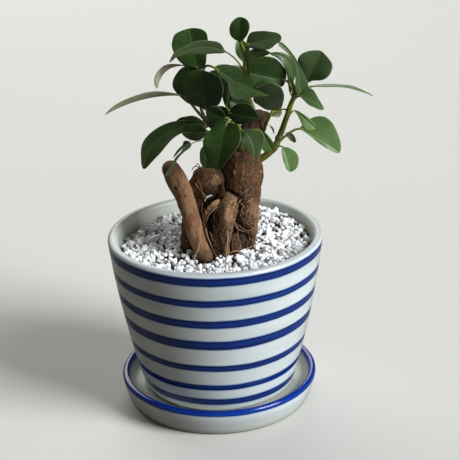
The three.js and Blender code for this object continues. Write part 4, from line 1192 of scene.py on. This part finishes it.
# Each stem runs through its path; a leaf leaves it at a share of its length, and its blade has
# its base, tip and sometimes a middle point, the direction it faces, and its half widths; a leaf's
# tone makes it lighter or darker, and below 0 it is painted shade; its painted sheen turns its halves
# grey green
shoots = {
    "Right": dict(node="shoot_right", seed=1, stems=[
        dict(path=[(25.2, 0, 141.2), (30.1, 0, 144.7), (33.7, 0, 148.1), (36.1, 1, 152.6),
                   (38.1, 1.5, 157.5), (40, 2, 163), (41.8, 2, 168.6), (43.5, 1.5, 173.8), (44.7, 0, 177)],
             radii=[2, 1.9, 1.8, 1.7, 1.6, 1.5, 1.5, 1.3, 1.1],
             leaves=[
                 dict(at=0.97, base=(40, -1, 186.3), tip=(20.7, -7, 192.5), lift=1.5, faces=(-114, 12),
                      left=(3.2, 4.1, 4, 4.2, 4.3, 4.3, 3), right=(3.1, 6.2, 9.1, 11.1, 11.4, 9.9, 6.8),
                      young=0.06, tone=-0.2),
                 dict(at=0.99, base=(42.5, 2, 178.4), tip=(31.8, -3, 201.7), middle=(42.2, -1, 195),
                      faces=(-70, 35), left=(1.3, 3.1, 4, 4.5, 3.3, 1.7, 1),
                      right=(0.2, 1.2, 2.5, 2.8, 2.4, 1.5, 0.6), paintedSheen=(0.3, 0.3)),
                 dict(at=1, base=(47.2, -5, 179), tip=(36.3, -9, 209), middle=(45.7, -8, 195.8),
                      faces=(-70, 20), left=(2.2, 3.7, 3.3, 1.6, 1, 1.2, 1.4),
                      right=(4.5, 4.5, 2.8, 1.5, 1.1, 1.2, 1.1), paintedSheen=(0.3, 0.3)),
                 dict(at=0.93, base=(47, -7, 179), tip=(59.3, -15, 173.9), lift=1.6, faces=(-80, 50),
                      fold=18, left=(5.9, 6.4, 6, 4.4, 2.8, 1.5, 0.7),
                      right=(0.3, 1.4, 2.7, 3.8, 3.9, 3.1, 1.7), young=0.15, tone=0.9, paintedSheen=(0.3, 0.15)),
                 dict(at=1, base=(51.6, 5, 182.6), tip=(59.5, 3, 200.5), lift=1, faces=(-95, 20),
                      left=(0.9, 3.2, 6.2, 9.4, 9.3, 6.5, 2.7), right=(1.1, 2.7, 7.2, 9.5, 9.6, 7.8, 2.9),
                      young=0.1, paintedSheen=(0.3, 0.3)),
                 dict(at=0.97, base=(52.4, 5, 180.4), tip=(88, 8, 173.4), middle=(72, 6.5, 179.7),
                      faces=(90, 83), fold=0, wide=13, young=0.3, tone=0.9, paintedSheen=(0.9, 0.5)),
                 dict(at=0.3, base=(47.7, 0, 158.9), tip=(68.6, -6, 146.3), lift=2.5, faces=(-112, 38),
                      left=(4, 8.7, 11.5, 11.3, 8.8, 5.7, 2.6), right=(0.5, 0.9, 1.4, 2.1, 2.3, 1.9, 1.1),
                      young=0.68, bend=0.2, paintedSheen=(0.3, 0.3)),
                 dict(at=0.38, base=(44.8, -3, 170.1), tip=(55.5, -8, 161), lift=0.8, faces=(-108, 30),
                      left=(0.3, 0.9, 1.3, 1.7, 1.7, 1.4, 0.7), right=(0.7, 1.1, 1.8, 3.1, 4, 3.4, 2),
                      young=1, bend=0.15, paintedSheen=(0.2, 0.2)),
                 dict(at=0.24, base=(38.6, -1, 148.4), tip=(41.9, -7, 136.3), lift=0.9, faces=(-84, 8),
                      left=(2, 3.8, 5.6, 6.3, 5.9, 4.6, 2.8), right=(1.2, 1.8, 2.1, 2.2, 2.1, 1.8, 0.8),
                      young=0.9, paintedSheen=(0.3, 0.3)),
                 dict(at=0.4, base=(40.7, 2, 155.6), tip=(45.6, 4, 149.4), lift=0.4, faces=(-110, 40),
                      left=(1.2, 1.7, 1.9, 1.8, 1.5, 1, 0.5), right=(0.8, 1.5, 1.6, 1.6, 1.3, 1, 0.3),
                      paintedSheen=(0.8, 0.8)),
                 dict(at=0.75, base=(37.8, 5, 168.1), tip=(32.5, 9, 163.3), lift=0.3, faces=(90, 45),
                      left=(1, 1.2, 1.2, 1.1, 1, 0.6, 0.4), right=(1, 1.8, 3.1, 4.6, 5.5, 6.3, 6.2),
                      young=1, tan=0.9),
             ]),
        dict(path=[(44.6, 0, 176), (45, -2, 179.5), (43.9, -3, 184), (42.4, -4, 189.5)],
             radii=[0.9, 1.15, 0.9, 0.3],
             leaves=[]),
    ]),
    "Stump": dict(node="shoot_stump", seed=2, stems=[
        dict(path=[(27.5, -2.5, 157.5), (29, -6, 163.4), (30.6, -8.4, 168.3), (32.5, -9, 171.8)],
             radii=[0.95, 0.85, 0.8, 0.75],
             leaves=[
                 dict(at=0.96, base=(37, -9, 173), tip=(23.6, -17.4, 187.2), lift=1.5, faces=(-125, 5),
                      fold=-6, left=(5.9, 7.4, 8.5, 8.9, 7.2, 3.4, 0),
                      right=(1.1, 4, 7.4, 10.5, 11.6, 10.8, 8.8), tone=0.1, paintedSheen=(0.7, 0.4)),
                 dict(at=0.35, base=(31.4, -5, 162.4), tip=(33.4, -5, 157.6), lift=0.4, faces=(-10, 20),
                      wide=2.4),
             ]),
    ]),
    "Centre": dict(node="shoot_centre", seed=3, stems=[
        dict(path=[(22.2, 1.5, 170), (19.6, 1, 178), (18.5, 0, 184.5), (18.5, 0, 192), (19.4, 1, 199),
                   (19.6, 1.5, 202)],
             radii=[1.7, 1.5, 1.5, 1.4, 1.2, 1],
             leaves=[
                 dict(at=0.92, base=(16.7, 0, 207.5), tip=(17, -2, 221.4), lift=0.8, faces=(-115, 10),
                      left=(2, 4.3, 5.9, 6.2, 5.4, 3.9, 2.1), right=(0.7, 2, 3.7, 5.2, 5.8, 5.1, 3.4),
                      young=0.35, tone=0.6),
                 dict(at=1, base=(19.7, 1.5, 205.4), tip=(37.9, -5, 210.3), lift=1, faces=(-80, 40),
                      left=(3.4, 6, 6.3, 5.5, 4.4, 3.5, 2.1), right=(1.4, 2.9, 4.2, 5.5, 5.9, 3.5, 2.2),
                      paintedSheen=(0.25, 0.25)),
                 dict(at=0.7, base=(18.5, 5, 194.6), tip=(15.3, 7, 206.8), lift=0.8, faces=(-90, 0),
                      left=(0.5, 1.3, 2.3, 3, 2.7, 1.9, 0.8), right=(0.7, 2.1, 3.7, 4.9, 4.8, 3.5, 1.9),
                      young=1, tone=0.8, paintedSheen=(0.3, 0.3)),
                 dict(at=0.62, base=(20.6, 0, 189.4), tip=(32.3, -4, 202.1), middle=(22.6, -2, 199.2),
                      faces=(88, 8), left=(0.7, 1.8, 2.8, 3.2, 3, 1.9, 0.7),
                      right=(0.5, 1.1, 1.8, 3.7, 4, 2.5, 0.8), young=0.1, tone=-0.6),
                 dict(at=0.55, base=(8.6, -8, 204.7), tip=(-21, -14, 201.3), middle=(-6.5, -11, 208.2),
                      faces=(-90, -12), fold=5, left=(1.6, 3.1, 4.2, 3.8, 2.2, 0.4, 0.3),
                      right=(0.7, 3.4, 3.7, 3.7, 2.9, 2.9, 1), tone=-0.9, stalk=0.9, paintedSheen=(0.35, 0.35)),
             ]),
    ]),
    "Left": dict(node="shoot_left", seed=4, stems=[
        dict(path=[(11.5, -4, 151.5), (5, -5.4, 159), (-1.5, -4.6, 163.7), (-4.6, -3, 169.5),
                   (-6, -1, 176.6), (-4.2, 3, 184.4), (-3.6, 4, 190)],
             radii=[1.4, 1.15, 1, 0.9, 0.85, 0.8, 0.75],
             leaves=[
                 dict(at=0.92, base=(2.1, -14, 198), tip=(29.5, -25, 185.3), middle=(15.3, -20, 190.4),
                      faces=(-92, 48), fold=-14, left=(4, 7.4, 9.2, 5.8, 1.6, 1.1, 0.5),
                      right=(0.8, 2.3, 3, 8.7, 5.4, 2.7, 1), tone=0.1, paintedSheen=(0, 0.18)),
                 dict(at=0.62, base=(-2.8, -9, 174.3), tip=(-4.2, -17, 197.7), lift=1.5, faces=(-114, 5),
                      left=(3.7, 7.8, 10.3, 10.6, 10.2, 9, 4.7), right=(2, 6.4, 10, 12.4, 13.2, 12.6, 10.7),
                      tone=0.6),
                 dict(at=0.7, base=(-9.2, 0, 173.6), tip=(-11.1, -4, 196.7), lift=1, faces=(-116, 0),
                      left=(2.7, 5.5, 8.6, 9.8, 8.8, 6.2, 3.1), right=(1.1, 4.3, 7.4, 9.8, 10.5, 9.5, 7.4),
                      tone=0.5),
                 dict(at=1, base=(-6.5, 5, 191.3), tip=(-10.5, 4, 214.6), lift=1, faces=(-90, 10),
                      left=(1.9, 5.4, 8.4, 10.4, 11.1, 9.8, 7.2), right=(3.3, 5, 6.2, 7.6, 8.8, 8.7, 5.2),
                      young=0.06, tone=0.4),
                 dict(at=0.98, base=(-14.7, 8, 193.7), tip=(-29, 8, 181.1), middle=(-26.3, 8, 190.5),
                      faces=(120, 28), fold=18, left=(0.5, 1.3, 2, 1.8, 1.7, 1.2, 0.6),
                      right=(0.6, 1.3, 2.6, 4.6, 4.2, 2.2, 1.1), tan=1),
             ]),
        dict(path=[(-1.5, -4.6, 163.7), (-8, -3, 171.5), (-11.6, -1, 176), (-13.6, 0, 178)],
             radii=[0.95, 0.8, 0.75, 0.7],
             leaves=[
                 dict(at=1, base=(-15.6, 0, 179.6), tip=(-56.9, -4, 171), lift=3.2, faces=(90, 62), fold=16,
                      wide=13, stalk=0.8, tan=0.5),
             ]),
    ]),
    "LeftLow": dict(node="shoot_left_low", seed=5, stems=[
        dict(path=[(11, -3, 146), (3, -4.5, 153.6), (-2.6, -3, 158.6), (-5, -1, 161.6)],
             radii=[1.3, 1.05, 0.9, 0.8],
             leaves=[
                 dict(at=1, base=(-5.8, -1, 162.9), tip=(-37.7, -6, 140.2), middle=(-28.2, -3, 156.3),
                      faces=(-115, 35), left=(2, 2.5, 4.4, 7.2, 7.2, 5, 2.4),
                      right=(2, 3.6, 5.3, 6, 5.5, 2.9, 1.3), paintedSheen=(0.3, 0.1)),
                 dict(at=0.9, base=(-3.7, 4, 162), tip=(-19.2, 7, 162.7), lift=1.5, faces=(-90, 50),
                      left=(1.7, 3.8, 4.9, 5.4, 4.3, 2.9, 1.3), right=(0.6, 1.6, 2.6, 2.9, 2.5, 1.9, 0.8)),
                 dict(at=0.8, base=(-2.9, -8.8, 161.1), tip=(-16.4, -14, 163.5), lift=1, faces=(-135, 5),
                      left=(2, 3.5, 4.5, 4.7, 3.9, 2.6, 1.1), right=(1, 3, 4.8, 5.7, 5.6, 4.3, 2.1),
                      tone=-0.2),
                 dict(at=0.4, base=(-11.5, -6, 153.9), tip=(-25.5, -15.5, 138.9), middle=(-19, -12, 149),
                      faces=(-110, 10), fold=20, left=(1.2, 2, 1.6, 1.2, 1.4, 1.3, 1),
                      right=(2.3, 3.1, 0.2, 0.4, 0.3, 0.4, 0.6), paintedSheen=(0.85, 0.85)),
                 dict(at=0.3, base=(-0.2, -9.5, 155.6), tip=(-3.8, -13.5, 142.4), lift=1, faces=(-125, 5),
                      left=(4.4, 6.2, 8.1, 9.2, 8.6, 7, 3.5), right=(2.1, 3.4, 4.5, 5, 4.6, 3.6, 1.8),
                      young=0.32, tone=0.9),
                 dict(at=0.4, base=(-13.1, -7, 155.5), tip=(-21.4, -9, 147.3), middle=(-18.1, -9, 152.2),
                      faces=(-110, 15), left=(0.4, 1.5, 1.5, 1.5, 1.2, 0.9, 0.5),
                      right=(0.4, 0.2, 0.1, 0.1, 0.1, 0, 0), paintedSheen=(1, 1)),
             ]),
    ]),
    "Front": dict(node="shoot_front", seed=6, stems=[
        dict(path=[(15.4, -6.5, 149.5), (15, -12, 156.5), (14.4, -16, 164), (12, -17, 171),
                   (9, -15, 174.6)],
             radii=[1.5, 1.4, 1.3, 1.1, 0.9],
             leaves=[
                 dict(at=0.5, base=(8, -21, 170), tip=(2.3, -31, 147.1), lift=2.5, faces=(-114, 12),
                      left=(6.6, 9.5, 11.1, 10.2, 7.1, 4, 1.6), right=(2.8, 6.1, 8.8, 9.5, 7.7, 4.8, 1.9)),
                 dict(at=0.42, base=(15.6, -19, 164.7), tip=(22.3, -26, 148.5), middle=(20.6, -23, 160.3),
                      faces=(-100, 40), fold=10, left=(1, 1.9, 4.6, 7.2, 4.9, 2.5, 1),
                      right=(3.3, 4.4, 5, 5.3, 3.9, 1.3, 0.5), paintedSheen=(0.4, 0.1)),
                 dict(at=0.35, base=(26.5, -15, 162.5), tip=(31.8, -18, 153), lift=0.8, faces=(-108, 25),
                      left=(0.6, 1.5, 2.1, 2.5, 2.6, 2, 1.4), right=(0.9, 1.7, 2.9, 3.9, 4.4, 4.2, 2.8),
                      young=0.3),
                 dict(at=0.85, base=(9.5, -17.8, 174.2), tip=(25.4, -25.6, 173.1), lift=1, faces=(-118, 8),
                      left=(2.5, 4.5, 6.3, 7.3, 6.5, 3.8, 1.2), right=(2.1, 3.8, 4.9, 4.5, 2.9, 1.4, 0.5),
                      tone=-0.2),
                 dict(at=0.75, base=(7.6, -19, 171.9), tip=(-2.8, -24, 178.1), lift=1, faces=(-122, 5),
                      left=(2.1, 3.9, 5.2, 4.6, 3.7, 2.5, 1.1), right=(0.9, 2, 3.7, 5.1, 5.9, 5.2, 4),
                      tone=-0.8),
                 dict(at=1, base=(8, -14, 176.6), tip=(7.4, -15, 190.4), lift=0.8, faces=(-20, 0), wide=9),
             ]),
    ]),
    "Back": dict(node="shoot_back", seed=7, stems=[
        dict(path=[(20.4, 6, 151), (18.5, 10, 159), (15.4, 12, 169), (14.4, 13, 177)],
             radii=[1.6, 1.5, 1.3, 1],
             leaves=[
                 dict(at=0.9, base=(10, 15, 176), tip=(-7, 26, 180), lift=2, faces=(-100, 60), wide=17),
                 dict(at=1, base=(13, 16, 178), tip=(12, 32, 186), lift=2, faces=(-90, 60), wide=15),
                 dict(at=0.8, base=(20, 16, 174), tip=(33, 28, 184), lift=2, faces=(-80, 60), wide=14),
                 dict(at=0.45, base=(12, 14, 162), tip=(-4, 24, 152), lift=3, faces=(120, 50), wide=16),
                 dict(at=0.5, base=(22, 15, 163), tip=(28, 29, 150), lift=3, faces=(80, 50), wide=16),
                 dict(at=0.8, base=(9.4, -2, 169.7), tip=(8.4, -4, 192), lift=0.8, faces=(-112, 10),
                      left=(0.3, 1.4, 2.5, 3, 2.9, 2.1, 0.6), right=(0.7, 2.8, 4.5, 5.1, 4.5, 3.1, 1),
                      tone=-0.4),
                 dict(at=0.7, base=(21.1, -6, 171.2), tip=(10, -10, 178.3), lift=0.8, faces=(-95, 25),
                      left=(0.4, 2, 3.1, 4.4, 4.9, 4.8, 2.7), right=(2.1, 2.9, 4.3, 4.9, 4.5, 3.8, 2.5),
                      tone=-0.8),
                 dict(at=0.6, base=(9.3, -6, 166), tip=(-1.3, -9, 171.2), lift=0.8, faces=(-110, 15),
                      left=(0, 1.8, 4.1, 6.2, 6.3, 5.1, 1.7), right=(0, 3.7, 5.8, 6.9, 6.6, 5.8, 4.5),
                      tone=-0.8),
             ]),
    ]),
}


# Half widths along the blade, left and right: smooth curves through the leaf's own values, or
# else sin(pi * u^k) to a power, with k set so that the widest place is at the peak
def bladeHalves(leaf, phase, u):
    if "left" in leaf:
        steps = np.linspace(0, 1, 300)
        sides = [np.interp(phase, steps, smoothPath((0, *leaf[side], 0), 300)) for side in ("left", "right")]
        return [np.maximum(side, 0.03) for side in sides]
    k = math.log(0.5) / math.log(leafForm["peak"])
    half = 0.5 * leaf["wide"] * np.sin(np.pi * u ** k) ** leafForm["power"]
    return [half, half]


# Middle line of a leaf: a quadratic curve from base to tip that passes through its middle point,
# or else is lifted towards the upper face
def leafLine(leaf, u):
    base, tip = np.array(leaf["base"], float), np.array(leaf["tip"], float)
    along = unit(tip - base)
    up = pointing(*leaf["faces"])
    up = unit(up - along * (up @ along))
    middle = np.array(leaf.get("middle", (base + tip) / 2 + leaf.get("lift", 0) * up), float)
    crest = 2 * middle - (base + tip) / 2
    u = np.asarray(u, float)[:, None]
    line = (1 - u) ** 2 * base + 2 * u * (1 - u) * crest + u ** 2 * tip
    heading = unit(2 * (1 - u) * (crest - base) + 2 * u * (tip - crest))
    return line, heading, unit(np.cross(heading, up))


# A blade: at share u of its length and share v of its half width, the point is the middle line
# plus width across, plus height from the fold, a slight cup, waves that grow towards the
# margin, a groove along the midrib above and a ridge below it
def leafBlade(leaf, rng):
    form = leafForm
    phase = np.linspace(0.02, 0.985, form["rows"])
    u = 0.5 - 0.5 * np.cos(np.pi * phase)
    line, heading, side = leafLine(leaf, u)
    normal = np.cross(side, heading)
    left, right = bladeHalves(leaf, phase, u)
    wide = (left + right).max()
    turn = fullTurn(2 * form["across"])
    v = -np.cos(turn)
    face = np.sign(np.sin(turn)) * np.abs(np.sin(turn)) ** 0.4
    half = np.where(v < 0, left[:, None], right[:, None])
    x = half * v
    u = u[:, None]
    fold = math.radians(leaf.get("fold", form["fold"]))
    height = math.sin(fold) * (np.sqrt(x ** 2 + 0.36) - 0.6)
    height = height + rng.uniform(-0.05, 0.02) * half * v ** 4
    start = rng.uniform(0, 6.28, 2)[0]
    wave = np.sin(2 * np.pi * 1.6 * u + start + 1.2 * np.sign(v)) * 0.03
    height = height + wide * wave * np.abs(v) ** 3 * np.sin(np.pi * u)
    height = height + face * form["thickness"] / 2
    rib = np.exp(-(x / 0.42) ** 2)
    height = height - 0.16 * rib * (face > 0) - 0.34 * rib * (face < 0) * (1 - u) ** 0.6
    rings = (line[:, None] + side[:, None] * (x * math.cos(fold))[..., None]
             + normal[:, None] * height[..., None])
    marks = {"along": u, "across": np.abs(v), "under": (face < 0).astype(float),
             "young": leaf.get("young", 0.0), "leafToneAndShade": leaf.get("tone", rng.random()),
             "ribPlace": np.abs(x), "paintedSheen": np.where(v < 0, *leaf.get("paintedSheen", (0.0, 0.0))),
             "tan": leaf.get("tan", 0.0)}
    ends, _, _ = leafLine(leaf, [0.0, 1.0])
    return ringSurface(rings, ends[0], ends[1], marks)


# A stalk: a cubic curve that leaves the stem, comes into line with the blade and runs into it
def leafStalk(leaf, stem):
    start = smoothPath(stem["path"], 200)[round(199 * leaf["at"])]
    (base, inside), heading, _ = leafLine(leaf, [0.0, 0.1])
    reach = leaf.get("bend", 0.4) * np.linalg.norm(base - start)
    bend = base - heading[0] * reach
    share = np.linspace(0, 1, 12)
    t = share[:, None]
    path = (1 - t) ** 3 * start + 3 * t * (1 - t) ** 2 * bend + 3 * t * t * (1 - t) * base + t ** 3 * inside
    thick = min(1.0, sum(side.max() for side in bladeHalves(leaf, share, share)) / 12)
    radii = thick * np.interp(share, [0, 0.15, 0.8, 1], [0.9, 0.68, 0.6, 0.3])
    return tube(path, radii, 9, {"woody": leaf.get("stalk", 0.25)})


# A stem: its radius swells a little at each node where a leaf leaves it, and noise bends it
def leafStem(stem):
    path, radii = lineOf(stem, 70)
    share = np.linspace(0, 1, 70)
    for leaf in stem["leaves"]:
        radii = radii * (1 + 0.16 * np.exp(-((share - leaf["at"]) / 0.02) ** 2))
    path = path + sideBySide(*(smoothNoise(path + 40 * k, 6, k) for k in range(3))) * 0.25
    return tube(path, radii, 14, {"woody": np.clip(1.15 - share, 0, 1)[:, None]})


# Waxy leaf: dark green above with paler ribs and a thin pale margin, dull grey green below; painted
# shade darkens a leaf of low tone above and below, and painted sheen turns it grey green
def leafMaterial():
    f = leafForm
    material, tree, shader = newMaterial("ficusLeaf", 0.42, specular=0.38, ior=1.46)
    place = placeOn(tree)
    along, across, under, young, leafToneAndShade = (
        markOf(tree, name) for name in ("along", "across", "under", "young", "leafToneAndShade"))
    cloud = patches(tree, place, 90, 0.35, 0.65)
    lightness = plus(tree, times(tree, cloud, 0.5), times(tree, leafToneAndShade, 0.45), clamp=True)
    slant = minus(tree, times(tree, along, f["veins"]), times(tree, across, 1.7))
    slant = plus(tree, slant, times(tree, noiseOn(tree, place, 200, 2), 0.5))
    saw = maths(tree, "ABSOLUTE", minus(tree, maths(tree, "FRACT", slant), 0.5))
    vein = times(tree, softStep(tree, saw, 0.09, 0.0), softStep(tree, across, 0.95, 0.7))
    rib = softStep(tree, markOf(tree, "ribPlace"), 0.55, 0.15)
    lines = plus(tree, rib, times(tree, vein, 0.4), clamp=True)
    above = layered(
        tree, mixColours(tree, lightness, f["dark"], f["green"]),
        (young, mixColours(tree, cloud, *f["young"])), (markOf(tree, "paintedSheen"), f["paintedSheen"]),
        (lines, 0.2, f["rib"]), (softStep(tree, across, 0.955, 0.995), 0.35, f["margin"]))
    below = layered(
        tree, mixColours(tree, cloud, *f["under"]), (lines, 0.5, f["underRib"]), (young, f["underYoung"]),
        # painted shade below, for a leaf whose tone is below 0
        (softStep(tree, leafToneAndShade, 0.0, -1.0), f["underShade"]), (markOf(tree, "tan"), f["tan"]))
    colour = mixColours(tree, under, above, below)
    relief = minus(tree, times(tree, noiseOn(tree, place, 380, 2), 0.35), times(tree, lines, 0.6))
    finish(tree, shader, colour, relief, 0.5, 0.0003, under, (0.42, 0.6))
    glow = addNode(tree, "BsdfTranslucent", {"Color": colour})[0]
    mixed = addNode(tree, "MixShader", {0: f["glow"], 1: shader.outputs[0], 2: glow})[0]
    tree.links.new(mixed, tree.nodes["Material Output"].inputs["Surface"])
    return material


# Stem: olive green at the tip, brown and dull where it is old
def stemMaterial():
    material, tree, shader = newMaterial("ficusStem", 0.5)
    young = useGroup(tree, mottle, Vector=placeOn(tree), Scale=240.0, Base=(118, 132, 40), Patch=(84, 96, 22),
                     Fleck=(136, 146, 60), Amount=0.5)
    old = useGroup(tree, mottle, Vector=placeOn(tree, (1, 1, 0.4)), Scale=260.0, Base=(92, 96, 26),
                   Patch=(62, 62, 16), Fleck=(116, 112, 42), Amount=0.7)
    colour = mixColours(tree, softStep(tree, markOf(tree, "woody"), 0.2, 0.8), young["Color"], old["Color"])
    finish(tree, shader, colour, old["Fine"], 0.4, 0.0003)
    return material


ficusLeaf, ficusStem = leafMaterial(), stemMaterial()
for name, shoot in shoots.items():
    rng = np.random.default_rng(shoot["seed"])
    blades, wood = [], []
    for stem in shoot["stems"]:
        wood.append(leafStem(stem))
        for leaf in stem["leaves"]:
            blades.append(leafBlade(leaf, rng))
            wood.append(leafStalk(leaf, stem))
    makePiece("leaves" + name, together(blades), ficusLeaf, [shoot["node"]])
    makePiece("stem" + name, together(wood), ficusStem, [shoot["node"]])


# Floor, light and camera

studio = {
    "floor": ((187, 186, 182), (216, 213, 208)),
    "floorThrow": (104, 98, 90),     # the light that the floor throws back on the object
    "floorReach": 4.0,
    "ambient": 0.115,
    "ambientColour": (1.0, 0.95, 0.88, 1),
    "key": dict(azimuth=-30, elevation=33, distance=5, size=(2.1, 2.7), power=450, colour=(0.95, 0.985, 1.0)),
    "glow": dict(azimuth=108, elevation=32, distance=2.4, size=(2.6, 1.5), power=42, colour=(1, 1, 0.97)),
    "aim": (0, 0, 0.11),
}

photoView = {
    "frame": 460,                    # width of the picture, in pixels
    "focal": 1381.3,                 # in the same pixels
    "sensor": 36,                    # mm
    "eye": (0.0, -711.94, 393.09),   # mm
    "ahead": (0.01084, 0.92485, -0.38017),
    "right": (0.99947, -0.02164, -0.02415),
    "up": (0.03056, 0.37970, 0.92460),
}


# Turns and places an object; its own axes and its place are the columns of the matrix
def setPlace(thing, *columns):
    thing.matrix_world = Matrix(np.vstack([sideBySide(*columns), [0, 0, 0, 1]]).tolist())


# A wide pale floor; the light that it throws on the object is dimmer and warmer than it looks
def makeFloor():
    mesh = bpy.data.meshes.new("floor")
    r = studio["floorReach"]
    mesh.from_pydata([(-r, -r, 0), (r, -r, 0), (r, r, 0), (-r, r, 0)], [], [(0, 1, 2, 3)])
    material, tree, shader = newMaterial("paleFloor", 0.7)
    cloud = noiseOn(tree, placeOn(tree), 3.0, 2)
    seen = addNode(tree, "LightPath", {})["Is Camera Ray"]
    colour = mixColours(tree, times(tree, cloud, 0.15), *studio["floor"])
    finish(tree, shader, mixColours(tree, seen, studio["floorThrow"], colour))
    mesh.materials.append(material)
    floor = addToScene("floor", mesh)


# A rectangular light that faces the aim from a compass angle, a height in degrees and a distance
def makeLight(name, azimuth, elevation, distance, size, power, colour):
    data = bpy.data.lights.new(name, "AREA")
    data.shape = "RECTANGLE"
    data.size, data.size_y = size
    data.energy = power
    data.color = colour
    away = pointing(azimuth, elevation)
    side = unit(np.cross((0, 0, 1), away))
    light = addToScene(name, data)
    setPlace(light, side, np.cross(away, side), away, np.array(studio["aim"]) + away * distance)


def makeCamera():
    v = photoView
    data = bpy.data.cameras.new("photoCamera")
    data.sensor_width = v["sensor"]
    data.lens = v["sensor"] * v["focal"] / v["frame"]
    data.clip_start, data.clip_end = 0.02, 30
    camera = addToScene("photoCamera", data)
    setPlace(camera, v["right"], v["up"], -np.array(v["ahead"]), np.array(v["eye"]) * mm)
    bpy.context.scene.camera = camera


def makeWorld():
    world = bpy.data.worlds.new("softRoom")
    world.use_nodes = True
    background = world.node_tree.nodes["Background"]
    background.inputs["Color"].default_value = studio["ambientColour"]
    background.inputs["Strength"].default_value = studio["ambient"]
    bpy.context.scene.world = world


makeFloor()
makeLight("keyLight", **studio["key"])
makeLight("glowLight", **studio["glow"])
makeWorld()
makeCamera()
bpy.context.scene.view_settings.view_transform = "Standard"
print("stage, light and camera set")
